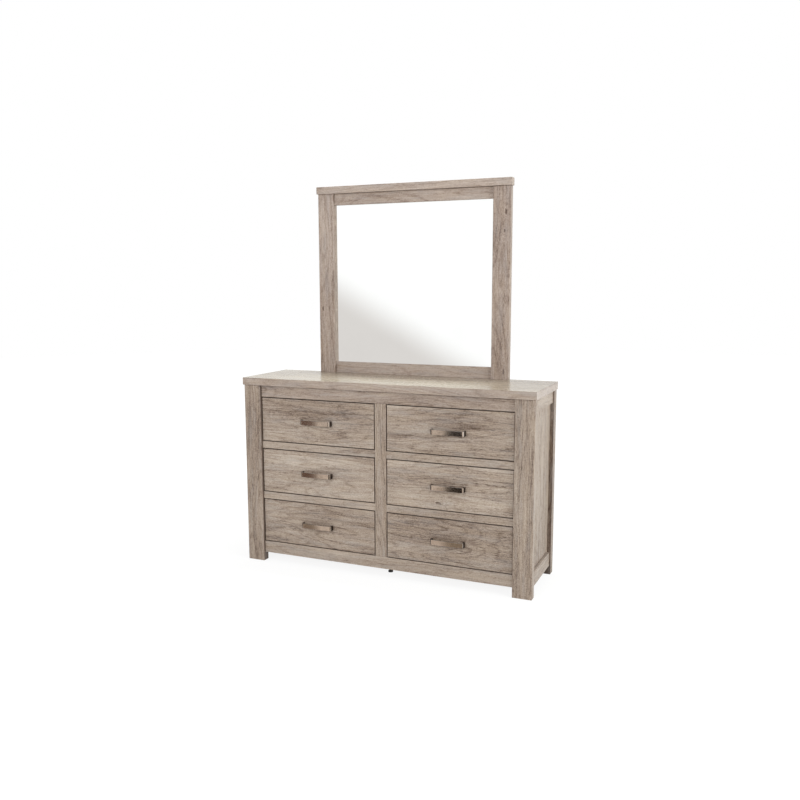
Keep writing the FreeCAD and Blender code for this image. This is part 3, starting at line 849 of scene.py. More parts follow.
@dataclass(frozen=True)
class Silvering:
    """Mirror glass, clean in the middle with a faint film here and there.

    Attributes:
        name: The material's name.
    """

    name: str = "mirror glass"

    def material(self) -> bpy.types.Material:
        """Build the material: a bright metal that the film makes a little rougher and duller.

        Returns:
            The material.
        """
        wires = Surface(self.name)
        film = wires.noise(wires.place(), 3.0, 5.0, 0.6)
        colour = wires.blend(wires.spread(film, 0.45, 0.8), srgb(254, 255, 254),
                             srgb(251, 252, 251))
        return wires.finish(colour, wires.spread(film, 0.5, 0.8, 0.0, 0.003), metallic=1.0)


@dataclass(frozen=True)
class Plastic:
    """Black moulded plastic with a fine spark-eroded grain.

    Attributes:
        name: The material's name.
    """

    name: str = "foot plastic"

    def material(self) -> bpy.types.Material:
        """Build the material from its grain, scuffs and dust.

        Returns:
            The material.
        """
        wires = Surface(self.name)
        place = wires.place()
        grain = wires.noise(place, 1400.0)
        scuff = wires.effect(WornEdge, {"Vector": place, "Amount": 0.5})["Mask"]
        dust = wires.effect(SettledDust, {"Vector": place, "Amount": 0.3})["Mask"]
        colour = wires.blend(grain, srgb(24, 24, 25), srgb(38, 38, 39))
        colour = wires.blend(scuff, colour, srgb(74, 73, 72))
        return wires.finish(wires.blend(dust, colour, srgb(120, 116, 110)),
                            wires.spread(grain, 0.3, 0.7, 0.42, 0.58), grain, 0.04 * MM)


class Finishes:
    """The plain finishes that several sub-assemblies share, each built once."""

    def __init__(self) -> None:
        """Build every shared material."""
        self.carcass = Particleboard().material()
        self.hardboard = Hardboard().material()
        self.lining = LinenFoil().material()
        # The pull metal's edge colour is the dark of its ends: tarnish with painted shade and
        # painted reflection.
        self.pewter = Pewter("pull metal", Run.ACROSS, srgb(214, 207, 199), srgb(188, 179, 170),
                             0.12, 0.19, srgb(58, 46, 39)).material()
        self.zinc = Metal("screw zinc", Run.NONE, srgb(205, 204, 200), srgb(168, 168, 166),
                          0.25, 0.45, srgb(226, 225, 222)).material()
        self.slide = Metal("slide steel", Run.DEEP, srgb(196, 197, 198), srgb(158, 160, 163),
                           0.26, 0.42, srgb(220, 220, 220)).material()
        self.plastic = Plastic().material()


# ---------------------------------------------------------------- mesh tools

def rounded_mesh(name: str, form: bmesh.types.BMesh) -> bpy.types.Object:
    """Turn a finished bmesh into an object at the origin, smooth but for its sharp edges.

    Args:
        name: The object's name.
        form: The bmesh, which is freed.

    Returns:
        The object, linked to the scene.
    """
    sharp = math.radians(32)
    bmesh.ops.remove_doubles(form, verts=form.verts, dist=WELD)
    bmesh.ops.recalc_face_normals(form, faces=form.faces)
    mesh = bpy.data.meshes.new(name)
    form.to_mesh(mesh)
    form.free()
    mesh.shade_smooth()
    mesh.set_sharp_from_angle(angle=sharp)
    made = bpy.data.objects.new(name, mesh)
    even = made.modifiers.new("even shading", "WEIGHTED_NORMAL")
    even.keep_sharp = True
    bpy.context.scene.collection.objects.link(made)
    return made


def mount(name: str, form: bmesh.types.BMesh, material: bpy.types.Material, body: str,
          replaces: Iterable[str] = ()) -> None:
    """Make a new piece, give it its material and its body, and report it.

    Args:
        name: The piece's name.
        form: Its bmesh, which is freed.
        material: Its material.
        body: The CAD body that it moves with.
        replaces: CAD nodes that it stands for.
    """
    piece = rounded_mesh(name, form)
    piece.data.materials.append(material)
    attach(piece, body)
    for node in replaces:
        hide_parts(node)
    LOG.info("made %s on %s, %d faces", piece.name, body, len(piece.data.polygons))


def paint(node: str, material: bpy.types.Material) -> None:
    """Give a CAD node its material, and report it.

    Args:
        node: The node's name.
        material: Its material.
    """
    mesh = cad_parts[node].data
    mesh.materials.clear()
    mesh.materials.append(material)
    LOG.info("painted %s with %s", node, material.name)


def new_faces(made: dict) -> list[bmesh.types.BMFace]:
    """The faces in an operator's result."""
    return [g for g in made["geom"] if isinstance(g, bmesh.types.BMFace)]


def new_verts(made: dict) -> list[bmesh.types.BMVert]:
    """The vertices in an operator's result."""
    return [g for g in made["geom"] if isinstance(g, bmesh.types.BMVert)]


def edges_among(verts: Iterable[bmesh.types.BMVert]) -> list[bmesh.types.BMEdge]:
    """The edges that join these vertices to each other, in the vertices' order."""
    known = dict.fromkeys(verts)
    return list(dict.fromkeys(e for v in known for e in v.link_edges
                              if all(w in known for w in e.verts)))


def join(form: bmesh.types.BMesh, piece: bmesh.types.BMesh) -> None:
    """Add one bmesh to another and free it.

    Args:
        form: The bmesh that grows.
        piece: The bmesh that goes into it.
    """
    shape = bpy.data.meshes.new("joined")
    piece.to_mesh(shape)
    piece.free()
    form.from_mesh(shape)
    bpy.data.meshes.remove(shape)


def ease_edges(form: bmesh.types.BMesh, edges: Iterable[bmesh.types.BMEdge], radius: float,
               steps: int) -> None:
    """Round edges off in so many steps."""
    bmesh.ops.bevel(form, geom=list(edges), offset=radius, segments=steps, profile=0.5,
                    affect="EDGES", material=-1, clamp_overlap=True)


def add_block(form: bmesh.types.BMesh, low: Vector, high: Vector, ease: float,
              steps: int) -> None:
    """Add a small block with eased edges.

    Args:
        form: The bmesh that it goes into.
        low: Its lowest corner.
        high: Its highest corner.
        ease: Radius of its edges.
        steps: Faces across each rounding.
    """
    size = high - low
    stand = Matrix.Translation((low + high) / 2) @ Matrix.Diagonal((*size, 1.0))
    piece = bmesh.new()
    bmesh.ops.create_cube(piece, size=1.0, matrix=stand)
    ease_edges(piece, piece.edges, ease, steps)
    join(form, piece)


def turned(outline: Sequence[tuple[float, float]], place: Vector,
           steps: int) -> bmesh.types.BMesh:
    """Turn a piece: spin an outline once round an upright axis.

    Args:
        outline: Points as (radius, height), both ends on the axis.
        place: The foot of its axis.
        steps: Faces round it.

    Returns:
        The turned piece.
    """
    piece = bmesh.new()
    line = [piece.verts.new((radius, 0.0, height)) for radius, height in outline]
    edges = [piece.edges.new(pair) for pair in zip(line, line[1:])]
    bmesh.ops.spin(piece, geom=line + edges, cent=ORIGIN, axis=(0, 0, 1),
                   angle=math.radians(360), steps=steps, use_merge=True, use_duplicate=False,
                   dvec=ORIGIN, space=Matrix.Identity(4), use_normal_flip=False)
    bmesh.ops.remove_doubles(piece, verts=piece.verts, dist=WELD)
    bmesh.ops.translate(piece, verts=piece.verts, vec=place)
    return piece


def facing(place: Vector, way: Vector, spin: float = 0.0) -> Matrix:
    """Seat a piece that is made on XY, with its top looking one way.

    Args:
        place: Where the seat's middle goes.
        way: The way that the top looks.
        spin: Turn about that way, in degrees.

    Returns:
        The 4x4 matrix that does it.
    """
    turn = way.to_track_quat("Z", "Y").to_matrix().to_4x4()
    return Matrix.Translation(place) @ turn @ Matrix.Rotation(math.radians(spin), 4, "Z")


@dataclass(frozen=True)
class ScrewHead:
    """A round head with a cross recess, made flat on XY with its top towards +Z.

    Attributes:
        radius: Radius of its rim.
        height: Height of its rim.
        dome: How much higher its top is than its rim.
        cross: Reach of the recess as a share of the radius.
        depth: Depth of the recess.
        sink: Depth of the cone under its rim, 0 for a flat seat.
        shank: Radius of the shank below it, or 0 for none.
        length: Length of the shank.
    """

    radius: float
    height: float
    dome: float
    cross: float = 0.55
    depth: float = 1.2 * MM
    sink: float = 0.0
    shank: float = 0.0
    length: float = 0.0

    def add(self, form: bmesh.types.BMesh, turn: Matrix) -> None:
        """Add one head to a form.

        Args:
            form: The bmesh that it goes into.
            turn: Where its seat goes and which way it looks, as a 4x4 matrix.
        """
        before = set(form.verts)
        spokes = 12
        made = bmesh.ops.create_circle(form, cap_ends=True, segments=spokes, radius=self.radius,
                                       matrix=Matrix.Rotation(math.pi / spokes, 4, "Z"))
        seat = made["verts"][0].link_faces[0]
        top = new_faces(bmesh.ops.extrude_face_region(form, geom=[seat]))[0]
        bmesh.ops.translate(form, verts=top.verts, vec=(0, 0, self.height))
        rings, narrowing = (0.35, 0.30), 0.6
        for share in rings:
            bmesh.ops.inset_region(form, faces=[top], thickness=self.radius * share * narrowing,
                                   depth=self.dome * share / sum(rings), use_even_offset=True)
        self.cut_cross(form, top)
        bmesh.ops.delete(form, geom=[seat], context="FACES_ONLY")
        edges = edges_among(v for v in form.verts if v not in before and abs(v.co.z) < TINY)
        if self.shank:
            for factor, drop in ((self.shank / self.radius, self.sink), (1.0, self.length)):
                lower = new_verts(bmesh.ops.extrude_edge_only(form, edges=edges))
                bmesh.ops.scale(form, verts=lower, vec=(factor, factor, 1.0))
                bmesh.ops.translate(form, verts=lower, vec=(0, 0, -drop))
                edges = edges_among(lower)
        bmesh.ops.contextual_create(form, geom=edges)
        added = [v for v in form.verts if v not in before]
        bmesh.ops.transform(form, matrix=turn, verts=added)

    def cut_cross(self, form: bmesh.types.BMesh, top: bmesh.types.BMFace) -> None:
        """Draw the top face in to a cross and sink it.

        Args:
            form: The bmesh that the head is in.
            top: The head's flat top.
        """
        pinch, taper = 0.36, 0.6
        reach = max(v.co.xy.length for v in top.verts)
        for vert in top.verts:
            arm = round(math.degrees(math.atan2(vert.co.y, vert.co.x)) - 45) % 90
            share = 1.0 if arm else pinch
            vert.co.xy *= share * self.cross * self.radius / reach
        floor = new_faces(bmesh.ops.extrude_face_region(form, geom=[top]))[0]
        bmesh.ops.delete(form, geom=[top], context="FACES_ONLY")
        bmesh.ops.translate(form, verts=floor.verts, vec=(0, 0, -self.depth))
        bmesh.ops.scale(form, verts=floor.verts, vec=(taper, taper, 1.0))


@dataclass(frozen=True)
class Folded:
    """A strip of sheet metal, folded along its length.

    Attributes:
        path: Its folds as (x, z), drawn so that the metal lies on the left of the path.
        thick: Thickness of the metal.
        bend: Radius of its folds, outside.
    """

    path: tuple[tuple[float, float], ...]
    thick: float
    bend: float

    def add(self, form: bmesh.types.BMesh, length: float, turn: Matrix) -> None:
        """Add the strip, drawn on XZ and run along Y.

        Args:
            form: The bmesh that it goes into.
            length: Its length.
            turn: Where it goes, as a 4x4 matrix.
        """
        sheet = bmesh.new()
        line = [sheet.verts.new((x, 0.0, z)) for x, z in self.path]
        edges = [sheet.edges.new(pair) for pair in zip(line, line[1:])]
        run = bmesh.ops.extrude_edge_only(sheet, edges=edges)
        bmesh.ops.translate(sheet, verts=new_verts(run), vec=(0, length, 0))
        bmesh.ops.recalc_face_normals(sheet, faces=sheet.faces)
        (start_x, start_z), (next_x, next_z) = self.path[:2]
        left = Vector((start_z - next_z, 0.0, next_x - start_x))
        if edges[0].link_faces[0].normal.dot(left) > 0:
            bmesh.ops.reverse_faces(sheet, faces=sheet.faces)
        ease_edges(sheet, [e for e in sheet.edges if len(e.link_faces) == 2], self.bend, 4)
        bmesh.ops.solidify(sheet, geom=list(sheet.faces), thickness=self.thick)
        bmesh.ops.transform(sheet, matrix=turn, verts=sheet.verts)
        join(form, sheet)


# ---------------------------------------------------------------- sub-assemblies

@dataclass
class SubAssembly:
    """What all sub-assemblies have.

    Attributes:
        finishes: The shared plain finishes.
    """

    finishes: Finishes


@dataclass
class Case(SubAssembly):
    """The case: legs, top, rails, panels and back."""

    def dress(self) -> None:
        """Print every board of the case."""
        for board in self.prints():
            paint(board.name, board.material())
        for node in ("back_rails", "centre_beam", "centre_partition", "slide_bearers"):
            paint(node, self.finishes.carcass)
        paint("back_panel", self.finishes.hardboard)

    def prints(self) -> tuple[WashedOak, ...]:
        """Choose each board's cut, tone and shades.

        Returns:
            The printed boards, each named as its node.
        """
        # Painted light and shade on the top: a highlight along the front strip, the mirror's shadow
        # behind it and darker ends for a dimmer reflection; the last shade darkens the right end of
        # the front edge.
        top = (Shade((0.0, -0.13, 0.95), (0.50, 0.09, 0.03), 0.12),
               Shade((0.0, 0.09, 0.95), (0.50, 0.09, 0.03), -0.20),
               Shade((-0.64, -0.02, 0.95), (0.12, 0.30, 0.03), -0.06),
               Shade((0.70, -0.02, 0.956), (0.26, 0.40, 0.014), -0.19),
               Shade((0.56, -0.22, 0.93), (0.32, 0.012, 0.03), -0.12))
        # Painted shadow under the top's overhang, on the rail and the legs.
        shadow_under_top = Shade((0.0, -0.20, 0.914), (2.0, 0.10, 0.005), -0.20)
        leg_patch = (0.10, 0.10, 0.25)
        legs = (Shade((-0.704, -0.21, 0.68), leg_patch, -0.05),
                Shade((0.704, -0.21, 0.68), leg_patch, -0.05),
                Shade((0.704, -0.21, 0.20), leg_patch, -0.05),
                # Painted light: the right leg's outer side is paler where the side light falls.
                Shade((0.752, -0.19, 0.45), (0.008, 0.10, 1.2), 0.06), shadow_under_top)
        # Painted shade on the rear legs' front faces, which lie in the shadow under the case,
        # darkest at the foot.
        behind = (Shade((0.0, 0.1585, 0.47), (2.0, 0.010, 0.80), -0.24),
                  Shade((0.0, 0.1585, 0.01), (2.0, 0.014, 0.06), -0.28))
        # Three dark plank lines on the side panels, and a painted shadow in the recess over the
        # lower side rail.
        planks_and_recess_shade = (*(Shade((0.73, y, 0.45), (0.05, 0.005, 0.60), -0.20)
                    for y in (-0.012, 0.059, 0.100)),
                  Shade((0.0, 0.0, 0.111), (2.0, 0.40, 0.010), -0.25))
        rails = (Shade((0.34, -0.20, 0.348), (0.36, 0.10, 0.04), -0.10),
                 Shade((0.34, -0.20, 0.61), (0.36, 0.10, 0.04), -0.06))
        bottom_rail = (Shade((-0.34, -0.20, 0.074), (0.36, 0.10, 0.05), 0.05),)
        stile = (Shade((0.0, -0.20, 0.65), (0.06, 0.10, 0.25), -0.05),
                 Shade((0.0, -0.20, 0.25), (0.06, 0.10, 0.25), -0.08))
        side_rails = (Shade((0.745, 0.0, 0.882), (0.03, 0.20, 0.035), 0.10),)
        return (
            WashedOak("top_panel", Grain.ACROSS, 1, tone=0.06, contrast=0.7, satin=0.27,
                      relief=0.2, dye=(1.0, 1.0, 1.03), upper=(0.96, 1.0, 0.945), shades=top),
            WashedOak("legs_front", Grain.UPRIGHT, 2, tone=-0.06, contrast=0.95, edges=0.6585,
                      shades=legs),
            # The rear legs are also printed darker all over, standing for their shade further from
            # the light.
            WashedOak("legs_rear", Grain.UPRIGHT, 3, tone=-0.16, contrast=0.8, shades=behind),
            WashedOak("side_panels", Grain.UPRIGHT, 4, tone=-0.04, contrast=0.8, shades=planks_and_recess_shade),
            WashedOak("side_rails", Grain.DEEP, 5, contrast=0.7, dye=(0.99, 1.0, 1.02),
                      shades=side_rails),
            WashedOak("front_top_rail", Grain.ACROSS, 6, tone=-0.06, contrast=0.8,
                      dye=(1.0, 0.995, 1.02), edges=1.0, shades=(shadow_under_top,)),
            WashedOak("front_middle_rails", Grain.ACROSS, 7, tone=0.08, contrast=0.8, edges=1.0,
                      shades=rails),
            WashedOak("front_bottom_rail", Grain.ACROSS, 8, tone=0.03, contrast=0.8, edges=1.0,
                      shades=bottom_rail),
            WashedOak("centre_stile", Grain.UPRIGHT, 9, tone=0.01, contrast=0.9, edges=1.0,
                      shades=stile),
        )


@dataclass(frozen=True)
class Stretches:
    """How a drawer front's print changes over the board, as changes of tone, with a painted shadow
    round its pull.

    Attributes:
        tone: All over.
        above: Above the pull.
        below: Below it.
        left: Left of it.
        right: Right of it.
        pull_shadow: Round the pull, a painted shadow of the pull on the board.
    """

    tone: float
    above: float
    below: float
    left: float = 0.0
    right: float = 0.0
    pull_shadow: float = -0.07

    def shades(self, low: Vector, high: Vector) -> tuple[Shade, ...]:
        """Place the stretches on a front.

        Args:
            low: The front's lowest corner.
            high: Its highest corner.

        Returns:
            One shade for each stretch that differs.
        """
        middle = (low + high) / 2
        wide, tall, small = (0.30, 0.10, 0.055), (0.15, 0.10, 0.13), (0.115, 0.10, 0.030)
        inset, aside = 0.045, 0.21
        # The stretch round the pull is a painted shadow of the pull; the others are print tone.
        placed = ((self.above, (middle.x, low.y, high.z - inset), wide),
                  (self.below, (middle.x, low.y, low.z + inset), wide),
                  (self.left, (middle.x - aside, low.y, middle.z), tall),
                  (self.right, (middle.x + aside, low.y, middle.z), tall),
                  (self.pull_shadow, (middle.x, low.y, middle.z), small))
        return tuple(Shade(place, reach, amount) for amount, place, reach in placed if amount)


@dataclass
class Drawers(SubAssembly):
    """The six drawers, alike but for their print.

    Attributes:
        cut: Cut of the first front's print.
    """

    cut: int = 20

    def dress(self) -> None:
        """Print the fronts and line the boxes."""
        for front in self.prints():
            paint(front.name, front.material())
        for place in PLACES:
            paint("drawer_%s_box" % place, self.finishes.lining)
            paint("drawer_%s_bottom" % place, self.finishes.hardboard)

    def prints(self) -> tuple[WashedOak, ...]:
        """Choose each front's cut, tone and shades.

        Returns:
            The printed fronts, each named as its node.
        """
        stretches = {
            "bottom_left": Stretches(-0.04, -0.04, 0.06, 0.07),
            "bottom_right": Stretches(-0.05, -0.09, 0.02, -0.03, 0.06),
            "middle_left": Stretches(0.07, 0.12, 0.03, 0.0, -0.05),
            "middle_right": Stretches(0.08, -0.04, 0.02, -0.03),
            "top_left": Stretches(0.02, -0.11, 0.02, 0.02, -0.06),
            "top_right": Stretches(-0.04, -0.11, -0.03, 0.04, -0.03),
        }
        knots = {"middle_right": (Knot((0.296, -0.1965, 0.402), 0.007),)}
        prints = []
        for number, (place, stretch) in enumerate(stretches.items()):
            name = "drawer_%s_front" % place
            prints.append(WashedOak(name, Grain.ACROSS, self.cut + number, tone=stretch.tone,
                                    edges=1.0, knots=knots.get(place, ()),
                                    shades=stretch.shades(*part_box(name))))
        return tuple(prints)


@dataclass
class Pull(SubAssembly):
    """One arched pull and its two screws.

    Attributes:
        place: Its drawer's place.
        leg: Thickness of its legs.
        strap: Thickness of its strap.
        arch: Rise of the strap's middle over its ends.
        room: How far its ends stay inside the CAD pull's.
        outer_bend: Radius outside its bends.
        inner_bend: Radius inside its bends.
        ease: Rounding of its long edges.
    """

    place: str
    leg: float = 7 * MM
    strap: float = 4 * MM
    arch: float = 3 * MM
    room: float = 1 * MM
    outer_bend: float = 12 * MM
    inner_bend: float = 8 * MM
    ease: float = 0.8 * MM

    def outline(self, form: bmesh.types.BMesh, half: float, reach: float, bend: float,
                curve: float) -> list[bmesh.types.BMVert]:
        """Draw one side of the strap as seen from above, from foot to foot.

        The feet stand on y = 0 and the strap reaches towards -Y.

        Args:
            form: The bmesh to draw in.
            half: Distance of this side's legs from the middle.
            reach: How far its middle stands out.
            bend: Radius of its two bends.
            curve: Radius of its arch.

        Returns:
            The vertices in order.
        """
        slant = math.asin((half - bend) / (curve - bend))
        middle = Vector((0.0, curve - reach, 0.0))
        bend_y = middle.y - (curve - bend) * math.cos(slant)
        path = [form.verts.new((-half, 0.0, 0.0)), form.verts.new((-half, bend_y, 0.0))]
        form.edges.new(path)
        for centre, angle, steps in (
                (Vector((bend - half, bend_y, 0.0)), math.pi / 2 - slant, 10),
                (middle, 2 * slant, 24),
                (Vector((half - bend, bend_y, 0.0)), math.pi / 2 - slant, 10)):
            known = set(form.verts)
            bmesh.ops.spin(form, geom=[path[-1]], cent=centre, axis=(0, 0, 1), angle=angle,
                           steps=steps, use_merge=False, use_duplicate=False, dvec=ORIGIN,
                           space=Matrix.Identity(4), use_normal_flip=False)
            path.extend(v for v in form.verts if v not in known)
        path.append(form.verts.new((half, 0.0, 0.0)))
        form.edges.new(path[-2:])
        return path

    def build(self) -> None:
        """Make the strap and the screws, which stand for the CAD pull."""
        drawer = "drawer_" + self.place
        low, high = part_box(drawer + "_handle")
        front_low, front_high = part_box(drawer + "_front")
        face = front_low.y
        middle = (low + high) / 2
        half = (high.x - low.x) / 2 - self.room
        reach = face - low.y
        curve = (half ** 2 + self.arch ** 2) / (2 * self.arch)
        form = bmesh.new()
        outer = self.outline(form, half, reach, self.outer_bend, curve)
        inner = self.outline(form, half - self.leg, reach - self.strap, self.inner_bend,
                             curve - self.strap)
        form.edges.new((outer[0], inner[0]))
        form.edges.new((outer[-1], inner[-1]))
        plan = bmesh.ops.contextual_create(form, geom=list(form.edges))["faces"]
        bmesh.ops.translate(form, verts=form.verts, vec=(middle.x, face, low.z))
        risen = bmesh.ops.extrude_face_region(form, geom=plan)
        bmesh.ops.translate(form, verts=new_verts(risen), vec=(0, 0, high.z - low.z))
        bmesh.ops.recalc_face_normals(form, faces=form.faces)

        def is_long(edge: bmesh.types.BMEdge) -> bool:
            """Whether an edge runs along the strap, and not up it or across a foot."""
            one, two = (v.co for v in edge.verts)
            ahead = max(one.y, two.y) < face - TINY
            return abs(one.z - two.z) < TINY and (ahead or abs(one.x - two.x) < TINY)

        ease_edges(form, filter(is_long, form.edges), self.ease, 3)
        mount("pull_" + self.place, form, self.finishes.pewter, drawer,
              [drawer + "_handle"])
        self.build_screws(Vector((middle.x, front_high.y, middle.z)), half - self.leg / 2)

    def build_screws(self, middle: Vector, spacing: float) -> None:
        """Make the two screws, which come through the front from inside the drawer.

        Args:
            middle: The middle between their seats.
            spacing: Half of their distance.
        """
        head = ScrewHead(radius=4.5 * MM, height=1.2 * MM, dome=1.2 * MM, shank=2 * MM,
                         length=20 * MM)
        form = bmesh.new()
        for sign, spin in ((-1, 25), (1, 65)):
            seat = middle + Vector((sign * spacing, 0.0, 0.0))
            head.add(form, facing(seat, BACKWARDS, spin))
        mount("pull_screws_" + self.place, form, self.finishes.zinc, "drawer_" + self.place)


@dataclass
class Slides(SubAssembly):
    """The ball-bearing slides: folded channels, ball rows, screws and release levers.

    A slide is drawn from the case (0) towards the drawer box, and up and down from its middle.

    Attributes:
        steel: Thickness of the channels.
        bend: Radius of their folds.
        gap: Room between the case and the drawer box.
        play: Room that the CAD leaves outside the drawer's members.
        case_half: Half the height of the case member.
        middle_half: Half the height of the middle member.
        drawer_half: Half the height of the drawer member.
        reach: Depth of each channel.
        web: Distance of the middle member's web from the case.
        lip: Height of the case member's turned lips.
        ball: Radius of a ball.
        balls: Balls in a row.
        pitch: Distance of the balls in a row.
        rows: Distances of the outer and the inner ball rows from the case.
        row_end: Distance of a row from the end of its member.
        cage: Half the width and half the thickness of a row's cage strip.
        lever: The release lever's two blocks, each from (along, up) to (along, up).
        lever_sides: Distances of the lever's two sides from the drawer member's web.
        drawer_screws: Distance of the drawer member's outer screws from its ends.
        case_screws: Distances of the case member's first two screws from its front end.
    """

    steel: float = 1.2 * MM
    bend: float = 1.5 * MM
    gap: float = 12.7 * MM
    play: float = 3.0 * MM
    case_half: float = 22.5 * MM
    middle_half: float = 19.0 * MM
    drawer_half: float = 15.6 * MM
    reach: float = 9.7 * MM
    web: float = 1.5 * MM
    lip: float = 2.6 * MM
    ball: float = 1.15 * MM
    balls: int = 8
    pitch: float = 14 * MM
    rows: tuple[float, float] = (5.2 * MM, 7.6 * MM)
    row_end: float = 8 * MM
    cage: tuple[float, float] = (2.6 * MM, 0.3 * MM)
    lever: tuple[tuple[float, ...], ...] = ((196 * MM, -3 * MM, 236 * MM, 3 * MM),
                                            (190 * MM, 1 * MM, 206 * MM, 9 * MM))
    lever_sides: tuple[float, float] = (1.0 * MM, 3.4 * MM)
    drawer_screws: float = 30 * MM
    case_screws: tuple[float, float] = (37 * MM, 133 * MM)

    def ends(self, drawer: str) -> list[tuple[Vector, int, float]]:
        """Find where a drawer's two slides start, which way they face and how long they are.

        Args:
            drawer: The drawer's name.

        Returns:
            For each end the slide's foot, 1 or -1 along X, and the length.
        """
        low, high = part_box(drawer + "_slide_members")
        level = (low.z + high.z) / 2
        length = high.y - low.y
        return [(Vector((low.x - self.play, low.y, level)), 1, length),
                (Vector((high.x + self.play, low.y, level)), -1, length)]

    @staticmethod
    def stand(foot: Vector, way: int) -> Matrix:
        """The matrix that puts a slide drawn from its foot where it goes."""
        return Matrix.Translation(foot) @ Matrix.Diagonal((way, 1.0, 1.0, 1.0))

    def channel(self, mouth: float, web: float, half: float, lip: float = 0.0) -> Folded:
        """Draw a channel, with the metal on its inside.

        Args:
            mouth: Where its open side is.
            web: Where its web is.
            half: Half its height.
            lip: Height of the lips at its mouth.

        Returns:
            The folded strip.
        """
        path = [(mouth, half), (web, half), (web, -half), (mouth, -half)]
        if lip:
            path = [(mouth, half - lip)] + path + [(mouth, lip - half)]
        if web > mouth:
            path.reverse()
        return Folded(tuple(path), self.steel, self.bend)

    def add_row(self, form: bmesh.types.BMesh, start: Vector) -> None:
        """Add one row of balls in its cage strip.

        Args:
            form: The bmesh that it goes into.
            start: The middle of the row's front end.
        """
        half, thin = self.cage
        run = self.pitch * self.balls
        add_block(form, start - Vector((half, 0.0, thin)), start + Vector((half, run, thin)),
                  0.2 * MM, 2)
        for number in range(self.balls):
            spot = start + Vector((0.0, (number + 0.5) * self.pitch, 0.0))
            bmesh.ops.create_uvsphere(form, u_segments=8, v_segments=6, radius=self.ball,
                                      matrix=Matrix.Translation(spot))

    def build_middle(self, place: str) -> None:
        """Make a drawer's two middle members with the ball rows that they carry.

        Args:
            place: The drawer's place.
        """
        body = "slide_" + place
        form = bmesh.new()
        balls = bmesh.new()
        outer = (self.case_half - self.steel + self.middle_half) / 2
        inner = (self.middle_half - self.steel + self.drawer_half) / 2
        outer_across, inner_across = self.rows
        for foot, way, length in self.ends("drawer_" + place):
            strip = self.channel(self.web + self.reach, self.web, self.middle_half)
            strip.add(form, length, self.stand(foot, way))
            rear = length - self.pitch * self.balls - self.row_end
            for sign in (-1, 1):
                self.add_row(balls, foot + Vector((way * outer_across, rear, sign * outer)))
                self.add_row(balls, foot + Vector((way * inner_across, self.row_end,
                                                   sign * inner)))
        mount("slide_middles_" + place, form, self.finishes.slide, body,
              [body + "_middle_members"])
        mount("slide_balls_" + place, balls, self.finishes.zinc, body)

    def build_drawer(self, place: str) -> None:
        """Make a drawer's two own members, their screws and release levers.

        Args:
            place: The drawer's place.
        """
        drawer = "drawer_" + place
        form = bmesh.new()
        fixings = bmesh.new()
        levers = bmesh.new()
        head = ScrewHead(radius=3.6 * MM, height=0.8 * MM, dome=0.9 * MM, depth=0.9 * MM)
        for foot, way, length in self.ends(drawer):
            strip = self.channel(self.gap - self.reach, self.gap, self.drawer_half)
            strip.add(form, length, self.stand(foot, way))
            web = foot.x + way * (self.gap - self.steel)
            for number, along in enumerate((self.drawer_screws, length / 2,
                                            length - self.drawer_screws)):
                seat = Vector((web, foot.y + along, foot.z))
                head.add(fixings, facing(seat, Vector((-way, 0, 0)), 20 + 31 * number))
            near, far = sorted(web - way * side for side in self.lever_sides)
            for start, bottom, end, top in self.lever:
                add_block(levers, Vector((near, foot.y + start, foot.z + bottom)),
                          Vector((far, foot.y + end, foot.z + top)), 0.8 * MM, 3)
        mount("slide_inners_" + place, form, self.finishes.slide, drawer,
              [drawer + "_slide_members"])
        mount("slide_screws_" + place, fixings, self.finishes.zinc, drawer)
        mount("slide_levers_" + place, levers, self.finishes.plastic, drawer)

    def build_case(self) -> None:
        """Make the members on the case and their flush screws."""
        form = bmesh.new()
        fixings = bmesh.new()
        head = ScrewHead(radius=3.4 * MM, height=0.08 * MM, dome=0.12 * MM, depth=0.7 * MM)
        for place in PLACES:
            for foot, way, length in self.ends("drawer_" + place):
                strip = self.channel(self.reach, 0.0, self.case_half, self.lip)
                strip.add(form, length, self.stand(foot, way))
                for number, along in enumerate((*self.case_screws,
                                                length - self.case_screws[0])):
                    seat = foot + Vector((way * self.steel, along, 0.0))
                    head.add(fixings, facing(seat, Vector((way, 0, 0)), 15 + 37 * number))
        mount("slide_outers", form, self.finishes.slide, "case",
              ["slide_case_members"])
        mount("slide_outer_screws", fixings, self.finishes.zinc, "case")

    def build(self) -> None:
        """Make every slide."""
        for place in PLACES:
            self.build_middle(place)
            self.build_drawer(place)
        self.build_case()


@dataclass
class BoxFixings(SubAssembly):
    """A drawer box's cam nuts behind the front and the flat screws at its back corners.

    Attributes:
        place: Its drawer's place.
        wall: Thickness of the box's sides.
        cam_inset: Distance of the cams from the front.
        levels: Heights of the fixings over the box's lower edge.
    """

    place: str
    wall: float = 12 * MM
    cam_inset: float = 34 * MM
    levels: tuple[float, float] = (34 * MM, 138 * MM)

    def build(self) -> None:
        """Make the fixings of one drawer."""
        drawer = "drawer_" + self.place
        low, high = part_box(drawer + "_box")
        cam = ScrewHead(radius=7.4 * MM, height=0.35 * MM, dome=0.25 * MM, cross=0.5,
                        depth=0.5 * MM)
        corner = ScrewHead(radius=3.3 * MM, height=0.12 * MM, dome=0.15 * MM, depth=0.2 * MM)
        form = bmesh.new()
        for number, rise in enumerate(self.levels):
            for side, way in ((low.x, 1), (high.x, -1)):
                inward = Vector((way, 0, 0))
                seat = Vector((side + way * self.wall, low.y + self.cam_inset, low.z + rise))
                cam.add(form, facing(seat, inward, 12 + 49 * number))
                seat = Vector((side, high.y - self.wall / 2, low.z + rise))
                corner.add(form, facing(seat, -inward, 33 + 21 * number))
        mount("box_fixings_" + self.place, form, self.finishes.zinc, drawer)


